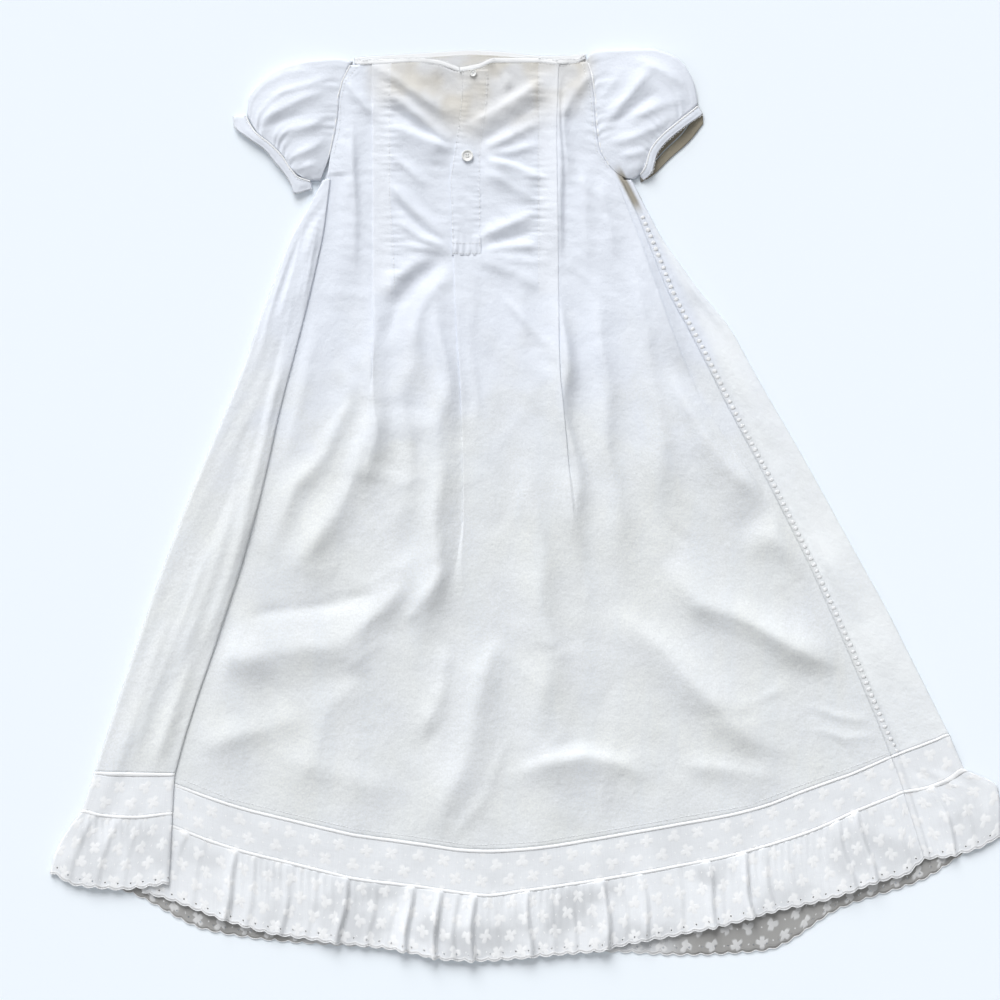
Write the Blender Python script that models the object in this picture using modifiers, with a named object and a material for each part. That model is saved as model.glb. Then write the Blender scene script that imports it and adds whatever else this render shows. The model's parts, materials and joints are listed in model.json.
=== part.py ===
"""Christening gown laid flat on its front, back side up.

A long white lawn gown with short puffed sleeves, a buttoned back placket, stitched tucks,
and a hem of embroidered voile: a flat band between two corded pipings, and a gathered,
scalloped ruffle.  The front panel lies on the surface and wraps round both sides of the
body, so its two side seams show on the upper face.  Lengths in the tables are millimetres;
+Y runs from the hem towards the neck, and Z = 0 is the surface that the gown lies on.
"""

import math

import bmesh
import bpy
import numpy as np

MM = 0.001
CLOTH = 1.0            # wall of every cloth piece
SEAM_GAP = 0.35        # clearance between two pieces that are sewn together
PITCH = 1.4            # from one lying layer to the next
LAYER = [CLOTH / 2 + PITCH * i for i in range(4)]   # mid-heights of lying layers

BODY_TOP = 352.0       # mean height of the neck and shoulder line
BODY_HEM = -235.0      # mean height of the upper piping
# Mean heights of the body's rows, closer together where a fold or the placket ends.
BODY_HEIGHTS = [352, 330, 306, 282, 258, 236, 209, 197, 172, 142, 113, 85, 58, 30, 0, -32,
                -65, -100, -135, -170, -205, -233]
ARMPIT_ROW = 4         # the side wraps start at this row
BAR_ROW = 6            # the placket slit is open above this row

SCALLOP = 11.0         # width of one scallop of the ruffle
SCALLOP_DEPTH = 2.2
CORD = 2.2             # width of the corded piping
CORD_GAP = 0.5         # clearance beside it
CORD_CROWN = 0.7       # how far its middle stands up
BAND_DEPTH = 33.0      # mean depth of the hem's flat band
RUFFLE_DROP = 52.0     # mean depth of the ruffle

SIDE_HEIGHT = 3.6      # mid-height of the cloth just inside the left side's rounded edge
LOW_SIDE_HEIGHT = 2.6  # the same at the right side
LEFT_NOSE = 1.3        # how far the rounded left edge stands out
RIGHT_NOSE = 1.0
PLEAT_RISE = 1.6       # how far the left pleat stands above the back
LAP_WIDTH = 6.0        # widest lap of the front over the back at the right seam

BUTTON_AT = (-46.0, 277.0)
BUTTON_RADIUS = 4.75
NECK_BUTTON_AT = (-41.5, 343.0)
NECK_BUTTON_RADIUS = 2.8

MIDDLE = np.array([0.0, -1.39, 0.0])   # middle of the gown's outline, moved to the origin

# Lines that run down the gown: rows of (y, x), from the neck to the ruffle's edge.
LEFT_EDGE = [(356, -137), (340, -145), (322, -150), (306, -150), (282, -155), (262, -161),
             (250, -163), (238, -172), (215, -186), (183, -198), (153, -210), (104, -226),
             (50, -249), (2, -269), (-62, -293), (-136, -318), (-215, -344), (-246, -354),
             (-262, -366), (-276, -374), (-294, -380)]
FRONT_RIGHT_EDGE = [(358, 49), (342, 53), (322, 56), (300, 57), (282, 60), (270, 70),
                    (261, 84), (244, 93), (226, 101), (209, 111), (195, 121), (170, 139),
                    (137, 166), (99, 186), (46, 217), (-14, 250), (-85, 289), (-185, 339),
                    (-213, 351), (-219, 366), (-226, 377), (-240, 380), (-264, 380)]
BACK_ARMHOLE = [(358, 49), (342, 53), (322, 56), (300, 57), (282, 60), (270, 66), (260, 72)]
RIGHT_FOLD = [(262, 71), (238, 81), (210, 92), (170, 106), (126, 121), (74, 145), (18, 184),
              (-34, 212), (-110, 238), (-190, 270), (-260, 284), (-300, 290)]
RIGHT_SEAM = [(262, 78), (238, 89), (210, 100), (170, 116), (126, 140), (74, 166), (18, 196),
              (-46, 228), (-110, 257), (-174, 284), (-218, 301), (-250, 311), (-290, 324)]
LEFT_FOLD = [(262, -155), (238, -158), (210, -162), (170, -171), (126, -182), (74, -196),
             (18, -208), (-46, -225), (-110, -246), (-174, -268), (-218, -280), (-302, -284)]
LEFT_TUCK = [(356, -122), (126, -121), (20, -126), (-110, -140), (-235, -150), (-350, -160)]
RIGHT_TUCK = [(356, 27), (300, 25), (200, 26.5), (113, 27), (40, 34), (-70, 46), (-235, 62),
              (-350, 70)]
CENTRE_PLEAT = [(356, -50), (306, -52), (258, -59), (205, -57), (170, -56), (130, -54),
                (86, -51), (-6, -49), (-60, -54), (-235, -66), (-350, -74)]

STEP_DEPTH = 1.4       # a fold this shallow is a plain step

# How far each fold tucks under its edge: rows of (y, depth).  A negative depth is a
# fold that has opened into a slope.
LEFT_TUCK_DEPTH = [(356, 14), (165, 14), (130, 7), (95, 1.4), (40, -9), (-60, -14)]
RIGHT_TUCK_DEPTH = [(356, 15), (160, 15), (110, 11), (85, 8), (58, 5), (30, 2.5), (0, 1.4),
                    (-65, -10), (-100, -14)]
CENTRE_DEPTH = [(356, 13), (190, 14), (130, 13), (60, 9), (0, 4), (-35, 1.4), (-110, -12)]
RIGHT_FOLD_DEPTH = [(262, 1.4), (236, 3.5), (209, 7), (120, 10), (60, 6), (15, 1.4), (-60, -12)]

# The gown's cross lines: rows of (x, y).
BACK_NECK = [(-138, 350), (-76, 353), (-64, 348), (-54, 344.5), (-44, 345), (-38, 347),
             (-26, 352), (10, 352), (25, 350.5), (34, 351), (52, 353)]
FRONT_NECK = [(-138, 353), (-90, 356), (-40, 359), (-12, 357), (10, 354), (52, 355)]
BACK_CORD = [(-300, -217), (-278, -226), (-235, -242), (-182, -255), (-134, -266), (-88, -272),
             (-42, -279), (11, -276), (60, -268), (111, -259), (178, -247), (220, -231),
             (262, -216), (306, -197)]
BACK_LOW_CORD = [(-300, -250), (-282, -258), (-258, -268), (-220, -280), (-182, -289),
                 (-134, -301), (-88, -306), (-34, -314), (34, -305), (78, -298), (145, -286),
                 (178, -278), (220, -266), (254, -250), (292, -235), (322, -222)]
BACK_EDGE = [(-301, -309), (-258, -325), (-212, -341), (-156, -349), (-103, -355),
             (-66, -363), (-27, -364), (4, -361), (60, -356), (106, -345), (145, -341),
             (178, -329), (220, -320), (255, -312), (280, -301), (304, -296), (326, -276)]
FRONT_CORD = [(-346, -215), (-280, -236), (-180, -255), (-60, -266), (60, -266), (180, -245),
              (280, -212), (340, -185)]
FRONT_LOW_CORD = [(-354, -246), (-280, -268), (-180, -288), (-60, -300), (60, -300),
                  (180, -276), (290, -240), (350, -213)]
FRONT_EDGE = [(-380, -294), (-350, -303), (-322, -308), (-303, -314), (-300, -324), (-266, -337),
              (-228, -346), (-180, -350), (-60, -357), (60, -357), (120, -359), (150, -362),
              (180, -362), (205, -348), (222, -345), (249, -323), (274, -316), (310, -304),
              (335, -289), (359, -281), (380, -266)]
WRAP_CORD = [(-346, -215), (-327, -219), (-304, -219), (-280, -217)]
WRAP_LOW_CORD = [(-354, -246), (-335, -251), (-312, -252), (-282, -248)]
WRAP_EDGE = [(-380, -294), (-371, -303), (-350, -307), (-319, -309), (-283, -302)]

# Soft folds of the upper cloth: rows of (x0, y0, x1, y1, height, half-width).
BACK_RIDGES = [
    (-224, -122, -104, -86, 7.0, 20),
    (-256, -194, -180, -170, 4.0, 14),
    (-122, 150, -130, 82, 4.5, 10),
    (-140, 66, -180, -14, 5.0, 13),
    (-88, 160, -96, 66, 4.0, 11),
    (8, -46, 12, -225, 5.0, 13),
    (-75, -175, -30, -145, 4.0, 12),
    (95, -102, 182, -159, 6.0, 12),
    (142, -72, 238, -123, 6.0, 14),
    (92, 110, 132, -46, 5.5, 17),
    (-30, 150, -20, -20, 3.0, 14),
    (60, 180, 70, 20, 3.0, 13),
    (100, 170, 170, 30, 3.0, 9),
    (-105, 341, -54, 309, 2.6, 6),
    (-108, 327, -62, 290, 2.2, 6),
    (12, 334, -30, 307, 3.0, 7),
    (-52, 304, -46, 284, 2.0, 6),
    (12, 300, -28, 262, 1.6, 6),
]
WRAP_RIDGES = [
    (-177, 205, -183, 162, 3.0, 7),
    (-183, 162, -195, 102, 5.0, 8),
    (-195, 102, -231, -30, 6.0, 10),
    (-231, -30, -275, -155, 6.0, 11),
    (-275, -155, -306, -215, 4.5, 10),
    (-192, 190, -207, 110, 2.0, 6),
    (-255, -30, -290, -120, 3.0, 8),
    (-290, -135, -318, -205, 3.0, 8),
]
RIGHT_WRAP_RIDGES = [
    (112, 190, 140, 158, 2.0, 7),
    (150, 130, 200, 45, 1.5, 9),
    (240, -40, 300, -150, 2.0, 12),
]


def on_table(table, at):
    """Value of a two-column table at one place, straight between its rows."""
    rows = sorted(table)
    return float(np.interp(at, [row[0] for row in rows], [row[1] for row in rows]))


def ease(value):
    value = min(max(value, 0.0), 1.0)
    return value * value * (3 - 2 * value)


def ridge_height(ridges, x, y):
    """Height that a list of soft folds adds at one place."""
    total = 0.0
    for x0, y0, x1, y1, height, half_width in ridges:
        along = np.array([x1 - x0, y1 - y0])
        length = float(np.hypot(*along))
        along = along / length
        t = ((x - x0) * along[0] + (y - y0) * along[1]) / length
        off = abs((x - x0) * along[1] - (y - y0) * along[0])
        ends = ease((t + 0.35) / 0.5) * ease((1.35 - t) / 0.5)
        total += height * ends * math.exp(-(off / half_width) ** 2)
    return total


def level(top, lines, x, v):
    """Y of the cross line v at x: 0 is the neck, then the two cords and the edge at 1, 2, 3."""
    cord, low_cord, edge = [on_table(line, x) for line in lines]
    if v > 2:
        return low_cord + (edge - low_cord) * (v - 2)
    if v > 1:
        return cord + (low_cord - cord) * (v - 1)
    mean = BODY_TOP + (BODY_HEM - BODY_TOP) * v
    at_top = on_table(top, x) - BODY_TOP
    return mean + at_top * (1 - v) ** 6 + (cord - BODY_HEM) * v ** 2


BODY_V = [(BODY_TOP - height) / (BODY_TOP - BODY_HEM) for height in BODY_HEIGHTS]
ARMPIT_V = BODY_V[ARMPIT_ROW]
BAR_V = BODY_V[BAR_ROW]
FRONT_LINES = (FRONT_CORD, FRONT_LOW_CORD, FRONT_EDGE)
BACK_LINES = (BACK_CORD, BACK_LOW_CORD, BACK_EDGE)
WRAP_LINES = (WRAP_CORD, WRAP_LOW_CORD, WRAP_EDGE)


def meet(line, top, lines, v):
    """X where a line that runs down the gown meets the cross line v."""
    x = on_table(line, BODY_TOP)
    for _ in range(12):
        x = on_table(line, level(top, lines, x, v))
    return x


def spread(start, end, count):
    """Evenly spaced values between two columns, both left out."""
    return [start + (end - start) * (i + 1) / (count + 1) for i in range(count)]


def mix(start, end, part):
    return [a + (b - a) * part for a, b in zip(start, end)]


def folded_step(edge, depth, high, low, faces_right):
    """Six (x, z) points of a fold, from its upper layer to its lower one.

    The upper layer ends in a nose at the edge, goes back by the depth under it, and turns
    again into the lower layer.  A shallow fold is a steep step, and with a negative depth
    the step opens into a slope.
    """
    middle = (high + low) / 2
    nose = min((high - middle) / 2, 0.8)
    tucked = max(depth, STEP_DEPTH)
    closed_x = [-nose, 0, -nose, nose - tucked, -tucked, nose - tucked]
    closed_z = [high, (high + middle) / 2, middle, middle, (middle + low) / 2, low]
    step_x = [-1.2, -0.6, -0.2, 0.2, 0.6, 1.2]
    step_z = [high - (high - low) * i / 5 for i in range(6)]
    part = ease((tucked - STEP_DEPTH) / 4)
    xs, zs = mix(step_x, closed_x, part), mix(step_z, closed_z, part)
    if depth < STEP_DEPTH:
        open_x = [-12, -7, -2, 3, 8, 13]
        open_z = [high - (high - low) * ease(i / 5) for i in range(6)]
        part = ease((STEP_DEPTH - depth) / 14)
        xs, zs = mix(xs, open_x, part), mix(zs, open_z, part)
    side = 1 if faces_right else -1
    points = [(edge + side * x, z) for x, z in zip(xs, zs)]
    return points if faces_right else points[::-1]


def back_section(v):
    """The back panel across one cross line, from its hidden left seam to its right seam."""
    left = meet(LEFT_FOLD, BACK_NECK, BACK_LINES, v)
    above_armpit = v < ARMPIT_V - 1e-6
    slit = v <= BAR_V + 1e-6

    def y_of(x):
        return level(BACK_NECK, BACK_LINES, x, v)

    if above_armpit:
        start = meet(LEFT_EDGE, BACK_NECK, BACK_LINES, v) + SEAM_GAP
        left = start
    else:
        start = left - pleat_depth(y_of(left))

    def lie(x, base):
        """A point of the open upper cloth, lifted by the soft folds."""
        return (x, base + lift(x, y_of(x), left))

    def run(step_a, step_b, count, base_a, base_b):
        """Points of the open cloth between two folds, sinking from one to the other."""
        found = []
        for i, x in enumerate(spread(step_a, step_b, count)):
            found.append(lie(x, base_a + (base_b - base_a) * ease((i + 1) / count)))
        return found

    def fold_at(line, depth_table, faces_right, rise=0.0):
        x = meet(line, BACK_NECK, BACK_LINES, v)
        return fold_points(x, on_table(depth_table, y_of(x)), y_of(x), faces_right, rise)

    tuck_l = fold_at(LEFT_TUCK, LEFT_TUCK_DEPTH, False)
    centre = fold_at(CENTRE_PLEAT, CENTRE_DEPTH, False)
    tuck_r = fold_at(RIGHT_TUCK, RIGHT_TUCK_DEPTH, True)
    if slit:
        edge = meet(CENTRE_PLEAT, BACK_NECK, BACK_LINES, v)
        centre[0] = (edge + 13, LAYER[1])
        centre[5] = (edge + 0.8, LAYER[3] if v > BAR_V - 1e-6 else LAYER[2])

    points = [(start, LAYER[1]), (left + 1.5, LAYER[1])]
    points += run(left + 1.5, west(tuck_l), 3, LAYER[1], tuck_l[0][1])
    points += [(west(tuck_l), tuck_l[0][1])] + tuck_l + [(east(tuck_l), tuck_l[5][1])]
    points += run(east(tuck_l), west(centre), 2, LAYER[2], LAYER[1])
    points += [(west(centre), centre[0][1])] + centre + [(east(centre), centre[5][1])]
    points += run(east(centre), west(tuck_r), 3, LAYER[2], LAYER[2])
    points += [(west(tuck_r), tuck_r[0][1])] + tuck_r + [(east(tuck_r), tuck_r[5][1])]
    if above_armpit:
        end = meet(BACK_ARMHOLE, BACK_NECK, BACK_LINES, v) - SEAM_GAP
        points += run(east(tuck_r), end, 12, LAYER[1], LAYER[1]) + [(end, LAYER[1])]
    else:
        side = fold_at(RIGHT_FOLD, RIGHT_FOLD_DEPTH, True, 1.6 * ease((v - ARMPIT_V) / 0.12))
        seam, lap = seam_lap(v)
        points += run(east(tuck_r), west(side), 4, LAYER[1], LAYER[2])
        points += [(west(side), side[0][1])] + side
        end = seam + 0.5 * lap
        points += [((max(east(side) - 1.5, side[5][0]) + end) / 2, side[5][1]), (end, LAYER[1])]
    return [(x, y_of(x), z) for x, z in points]


def west(fold):
    """X just left of all of a fold."""
    return min(x for x, _ in fold) - 1.5


def east(fold):
    """X just right of all of a fold."""
    return max(x for x, _ in fold) + 1.5


def seam_lap(v):
    """Where the front's lap over the right seam starts, and how wide the lap is."""
    seam = meet(RIGHT_SEAM, BACK_NECK, BACK_LINES, v) - 2.5
    near_x = meet(FRONT_RIGHT_EDGE, FRONT_NECK, FRONT_LINES, v) - 1
    return seam, min(LAP_WIDTH, (near_x - seam) * 0.6)


def pleat_depth(y):
    """How far the back runs on under the left pleat to its seam."""
    width = on_table(LEFT_FOLD, y) - on_table(LEFT_EDGE, y)
    return min(0.5 * width, 22.0)


def lift(x, y, clear_of):
    """Soft folds of the back, laid down flat where the left pleat covers it."""
    near_pleat = ease((x - clear_of - 3) / 14)
    near_seam = ease((on_table(RIGHT_SEAM, y) - x - 2) / 16)
    return ridge_height(BACK_RIDGES, x, y) * near_pleat * near_seam


def fold_points(edge, depth, y, faces_right, rise=0.0):
    """A fold of the back at height y, its upper layer lifted by the soft folds."""
    def soft(x):
        return ridge_height(BACK_RIDGES, x, y) * ease((on_table(RIGHT_SEAM, y) - 3 - x) / 16)

    opened = ease((STEP_DEPTH - depth) / 14)
    foot = edge + (12 if faces_right else -12)
    high = LAYER[3] + (rise + 0.6 * soft(edge)) * (1 - opened) + (soft(edge) - 1.2) * opened
    low = LAYER[1] + soft(foot) * opened
    return folded_step(edge, depth, high, low, faces_right)


def front_section(v):
    """The front across one cross line: right wrap, underside on the surface, left wrap."""
    left = meet(LEFT_EDGE, FRONT_NECK, FRONT_LINES, v)
    right = meet(FRONT_RIGHT_EDGE, FRONT_NECK, FRONT_LINES, v)

    def y_under(x):
        return level(FRONT_NECK, FRONT_LINES, x, v)

    under = [(x, y_under(x), LAYER[0]) for x in spread(right, left, 11)]
    if v < ARMPIT_V - 1e-6:
        pad_right = [(right - SEAM_GAP, y_under(right), LAYER[0])] * 9
        pad_left = [(left + SEAM_GAP, y_under(left), LAYER[0])] * 12
        return pad_right + under + pad_left
    y_right = y_under(right)
    y_left = y_under(left)
    seam, lap = seam_lap(v)
    seam_y = level(BACK_NECK, BACK_LINES, seam, v)
    wrap_r = []
    near_x = right - RIGHT_NOSE
    xs = [seam, seam + lap * 0.75, seam + lap] + spread(seam + lap, near_x, 3)
    for i, x in enumerate(xs):
        t = (x - seam) / (right - seam)
        y = seam_y + (y_right - seam_y) * t + right_wrap_bow(t, v)
        z = LAYER[2] if i < 2 else LAYER[1] + 0.35 * ease(t)
        z += ridge_height(RIGHT_WRAP_RIDGES, x, y) * ease((x - seam - lap) / 10)
        wrap_r.append((x, y, z))
    top_z = min(wrap_r[-1][2], LOW_SIDE_HEIGHT)
    turn_r = [(near_x, y_right, top_z),
              (right, y_right, (top_z + LAYER[0]) / 2),
              (near_x, y_right, LAYER[0])]
    fold = meet(LEFT_FOLD, FRONT_NECK, WRAP_LINES, v)
    fold_y = level(FRONT_NECK, WRAP_LINES, fold, v)
    hidden = fold - pleat_depth(fold_y)
    near_left = left + LEFT_NOSE
    turn_l = [(near_left, y_left, LAYER[0]),
              (left, y_left, (LAYER[0] + SIDE_HEIGHT) / 2),
              (near_left, y_left, SIDE_HEIGHT)]
    wrap_l = []
    high = LAYER[3] + PLEAT_RISE
    for i, x in enumerate(spread(near_left, fold - 0.8, 4)):
        t = (x - left) / (fold - left)
        y = y_left + (fold_y - y_left) * t + wrap_bow(x, t, v, y_left, fold_y)
        z = SIDE_HEIGHT + (high - SIDE_HEIGHT) * ease(t * 1.6)
        soft = ridge_height(WRAP_RIDGES, x, y)
        wrap_l.append((x, y, z + soft * ease((x - left) / 8)))
    high += 0.35 * ridge_height(WRAP_RIDGES, fold, fold_y)
    upper, edge, lower = folded_step(fold, fold - hidden + 1, high, LAYER[1], True)[:3]
    nose = [(upper[0], fold_y, high), (edge[0], fold_y, (high + LAYER[2]) / 2),
            (lower[0], fold_y, LAYER[2])]
    tail_y = y_left + (fold_y - y_left) * (hidden - left) / (fold - left)
    tail_y += wrap_bow(hidden, 0.5, v, y_left, fold_y)
    tail = [((nose[2][0] + hidden) / 2, (fold_y + tail_y) / 2, LAYER[2]),
            (hidden, tail_y, LAYER[2])]
    return wrap_r + turn_r + under + turn_l + wrap_l + nose + tail


def wrap_bow(x, t, v, y_left, fold_y):
    """How the left wrap's hem lines differ from a straight line between its sides."""
    if v <= 1:
        return 0.0
    straight = y_left + (fold_y - y_left) * t
    return (level(FRONT_NECK, WRAP_LINES, x, v) - straight) * ease(min(1, v - 0.5)) * 0.8


def right_wrap_bow(t, v):
    """The right wrap's hem lines hang a little below a straight line."""
    return -4.0 * math.sin(math.pi * min(max(t, 0), 1)) * ease(v - 1) if v > 1 else 0.0


def cloth_object(name, rows, material, keep=None, closed_ring=False):
    """A wall of cloth: a grid laid through rows of points, thickened with Solidify."""
    grid = (np.array(rows, dtype=float) - MIDDLE) * MM
    if closed_ring:
        grid = np.concatenate([grid, grid[:, :1]], axis=1)
    row_count, column_count = grid.shape[:2]
    bm = bmesh.new()
    bmesh.ops.create_grid(bm, x_segments=column_count - 1, y_segments=row_count - 1, size=1)
    place = {}
    for vert in bm.verts:
        column = round((vert.co.x + 1) / 2 * (column_count - 1))
        row = round((1 - vert.co.y) / 2 * (row_count - 1))
        place[vert] = (row, column)
    if keep is not None:
        unwanted = []
        for face in bm.faces:
            row = min(place[vert][0] for vert in face.verts)
            column = min(place[vert][1] for vert in face.verts)
            if not keep(row, column):
                unwanted.append(face)
        bmesh.ops.delete(bm, geom=unwanted, context="FACES")
    for vert in bm.verts:
        vert.co = grid[place[vert]]
    if closed_ring:
        bmesh.ops.remove_doubles(bm, verts=bm.verts, dist=1e-6)
    bmesh.ops.recalc_face_normals(bm, faces=bm.faces)
    mesh = bpy.data.meshes.new(name)
    bm.to_mesh(mesh)
    bm.free()
    mesh.materials.append(material)
    obj = bpy.data.objects.new(name, mesh)
    COLLECTION.objects.link(obj)
    solidify = obj.modifiers.new("Wall", "SOLIDIFY")
    solidify.thickness = CLOTH * MM
    solidify.offset = 0
    mesh.shade_smooth()
    mesh.set_sharp_from_angle(angle=math.radians(50))
    return obj


def make_material(name, colour, roughness):
    material = bpy.data.materials.new(name)
    material.use_nodes = True
    shader = material.node_tree.nodes["Principled BSDF"]
    shader.inputs["Base Color"].default_value = (*colour, 1)
    shader.inputs["Roughness"].default_value = roughness
    shader.inputs["Metallic"].default_value = 0
    return material


for old in list(bpy.data.objects):
    bpy.data.objects.remove(old, do_unlink=True)
COLLECTION = bpy.data.collections.new("Christening gown")
bpy.context.scene.collection.children.link(COLLECTION)
LAWN = make_material("White lawn", (0.80, 0.82, 0.83), 0.85)


# ---------------------------------------------------------------- body
front_rows = [front_section(v) for v in BODY_V]
back_rows = [back_section(v) for v in BODY_V]

FRONT_UNDER_START = 8      # first and last columns of the front above the armpits
FRONT_UNDER_END = 20
BACK_SLIT_START = 16       # columns on the two sides of the placket slit
BACK_SLIT_END = 21


def front_keep(row, column):
    return row >= ARMPIT_ROW or FRONT_UNDER_START <= column < FRONT_UNDER_END


def back_keep(row, column):
    return row >= BAR_ROW or not BACK_SLIT_START <= column < BACK_SLIT_END


cloth_object("front", front_rows, LAWN, front_keep)
cloth_object("back", back_rows, LAWN, back_keep)

# ---------------------------------------------------------------- hem
CORD_V = (CORD / 2 + CORD_GAP) / BAND_DEPTH   # half a cord and its gap, as a share of the band
# How much of the crown each column of the front's pipings has: its wraps, turns and underside.
FRONT_CROWN = [1] * 6 + [0.4, 0, 0] + [0] * 11 + [0, 0, 0.4] + [1] * 4 + [0.6, 0, 0] + [0] * 2


def cord_rows(section, v, crown):
    """Three cross lines of a corded piping: its crown stands above its two edges."""
    body = BODY_TOP - BODY_HEM
    above, below = (body, BAND_DEPTH) if v < 1.5 else (BAND_DEPTH, RUFFLE_DROP)
    middle = [(x, y, z + CORD_CROWN * up) for (x, y, z), up in zip(section(v), crown)]
    return [section(v - CORD / 2 / above), middle, section(v + CORD / 2 / below)]


def back_crown(v):
    """The back's piping stands up except where the left pleat or the right lap covers it."""
    fold = meet(LEFT_FOLD, BACK_NECK, BACK_LINES, v)
    seam, _ = seam_lap(v)
    return [ease((x - fold - 1) / 6) * ease((seam - x) / 5) for x, _, _ in back_section(v)]


VOILE = make_material("Embroidered voile", (0.80, 0.83, 0.86), 0.8)
CORDING = make_material("Piping", (0.84, 0.86, 0.88), 0.8)

for name, section in (("front", front_section), ("back", back_section)):
    band = [section(v) for v in (1 + CORD_V, 1.5, 2 - CORD_V)]
    cloth_object("band_" + name, band, VOILE)
cloth_object("piping_upper_front", cord_rows(front_section, 1, FRONT_CROWN), CORDING)
cloth_object("piping_upper_back", cord_rows(back_section, 1, back_crown(1)), CORDING)
cloth_object("piping_lower_front", cord_rows(front_section, 2, FRONT_CROWN), CORDING)
cloth_object("piping_lower_back", cord_rows(back_section, 2, back_crown(2)), CORDING)


def wave(x):
    """Uneven gathers of the ruffle across the gown, from 0 to 1."""
    phase = x / 24.0 + 0.35 * math.sin(x / 37.0) + 0.3 * math.sin(x / 61.0 + 1.0)
    strength = 0.65 + 0.35 * math.sin(x / 45.0 + 2.0)
    return strength * (0.5 + 0.5 * math.sin(2 * math.pi * phase))


def subdivide(rows, step):
    """More columns between the points of every row, the same number in each."""
    guide = np.array(rows[-1])
    spans = np.linalg.norm(np.diff(guide, axis=0), axis=1)
    result = []
    for row in rows:
        line = []
        for start, end, span in zip(row[:-1], row[1:], spans):
            parts = max(1, math.ceil(span / step - 0.2))
            for i in range(parts):
                line.append(tuple(np.array(start) + (np.array(end) - np.array(start)) * i / parts))
        line.append(row[-1])
        result.append(line)
    return result


def ruffle(name, section, clear):
    """A gathered voile frill with a scalloped edge; clear tells how free each point is."""
    steps = (2 + (CORD / 2 + CORD_GAP) / RUFFLE_DROP, 2.25, 2.62, 3.0)
    depth = (0.6, 2.0, 3.6, 4.6)
    if name == "ruffle_front":
        steps, depth = steps[:2] + steps[3:], depth[:2] + depth[3:]
    rows = subdivide([section(v) for v in steps], SCALLOP / 2)
    made = []
    for row_index, (row, amount) in enumerate(zip(rows, depth)):
        line = []
        for column, (x, y, z) in enumerate(row):
            if row_index == len(rows) - 1 and column % 2:
                y -= SCALLOP_DEPTH
            line.append((x, y, z + amount * wave(x) * clear(x, y, z)))
        made.append(line)
    cloth_object(name, made, VOILE)


def back_clear(x, y, z):
    fold = on_table(LEFT_FOLD, y)
    seam = on_table(RIGHT_SEAM, y)
    return ease((x - fold - 2) / 10) * ease((seam - x - 1) / 10)


def front_clear(x, y, z):
    if z < LAYER[1] - 0.01:
        return 0.0
    left = on_table(LEFT_EDGE, y)
    fold = on_table(LEFT_FOLD, y)
    if x < fold + 5:
        return ease((x - left) / 12) * ease((fold - x + 1) / 5) if z > LAYER[2] + 0.3 else 0.0
    seam = on_table(RIGHT_SEAM, y)
    right = on_table(FRONT_RIGHT_EDGE, y)
    return ease((x - seam - 4) / 10) * ease((right - x) / 12)


ruffle("ruffle_front", front_section, front_clear)
ruffle("ruffle_back", back_section, back_clear)

# ---------------------------------------------------------------- sleeves
ARMHOLE_GAP = 1.0      # clearance between the body's armhole and the sleeve's head
SLEEVE_ROWS = (0, 0.1, 0.24, 0.4, 0.58, 0.76, 0.9, 1)
GATHERS = 6            # round the head and the cuff of each sleeve
GATHER_HEIGHT = 1.1
UPPER_COLUMNS = 25
LOWER_COLUMNS = 9
SLEEVE_NOSE = 1 / 90    # rounding of a sleeve's side edges, as a share of its ring
ARM_CORNER = (81.5, 259.5)   # where the right armhole turns under the arm
SLEEVES = {
    "left": dict(
        top=[(-138.5, 353), (-150, 355), (-171, 353.5), (-191, 349), (-202, 344), (-214, 333.5),
             (-221, 322), (-222, 310)],
        under=[(-163.5, 257.5), (-171, 257.5)],
        cuff_in=[(-222, 310), (-214, 296), (-203, 287), (-193, 277), (-188, 269), (-181, 262),
                 (-171, 257.5)],
        cuff_out=[(-233, 309), (-232, 301), (-223, 293), (-207, 281.5), (-199, 271.5), (-192, 263),
                  (-187, 255), (-184, 247), (-170, 251)],
        low_in=None, low_out=None, puff=17.0, mouth=5.0),
    "right": dict(
        top=[(50.5, 356), (53, 360), (63, 362), (78, 362.5), (99, 363), (115, 359), (122, 355),
             (131, 344), (136, 331), (138, 318)],
        under=[(87.8, 259), (91, 262)],
        cuff_in=[(138, 318), (121, 304), (107, 292), (99, 281), (95, 268), (91, 262)],
        cuff_out=[(142, 311), (125, 298.5), (112, 287.5), (105, 278), (101, 264), (95, 258)],
        low_in=[(138, 318), (127, 298), (111, 282), (98, 268), (91, 262)],
        low_out=[(143, 304), (132, 290), (116, 275.5), (101, 261), (92, 256)],
        puff=16.0, mouth=9.0),
}
SLEEVE_RIDGES = [
    (-208, 305, -168, 325, 3.0, 5), (-200, 296, -165, 302, 3.0, 5), (-190, 283, -167, 283, 2.5, 5),
    (62, 303, 75, 317, 3.5, 4), (75, 317, 101, 342, 3.5, 5), (70, 285, 100, 300, 3.0, 6),
    (90, 345, 128, 330, 2.5, 6), (100, 310, 130, 320, 2.5, 6),
]


def along(path, t):
    """The place at a fraction of a path's length."""
    path = np.array(path, dtype=float)
    spans = np.linalg.norm(np.diff(path, axis=0), axis=1)
    at = np.concatenate([[0], np.cumsum(spans)]) / spans.sum()
    return np.array([np.interp(t, at, path[:, 0]), np.interp(t, at, path[:, 1])])


def patch(arm, cuff, top, under, s, c):
    """A place of a sleeve's half: s runs from armhole to cuff, c from shoulder to underarm."""
    a, b, t, u = along(arm, c), along(cuff, c), along(top, s), along(under, s)
    corners = ((1 - s) * ((1 - c) * along(arm, 0) + c * along(arm, 1))
               + s * ((1 - c) * along(cuff, 0) + c * along(cuff, 1)))
    return (1 - s) * a + s * b + (1 - c) * t + c * u - corners


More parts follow.
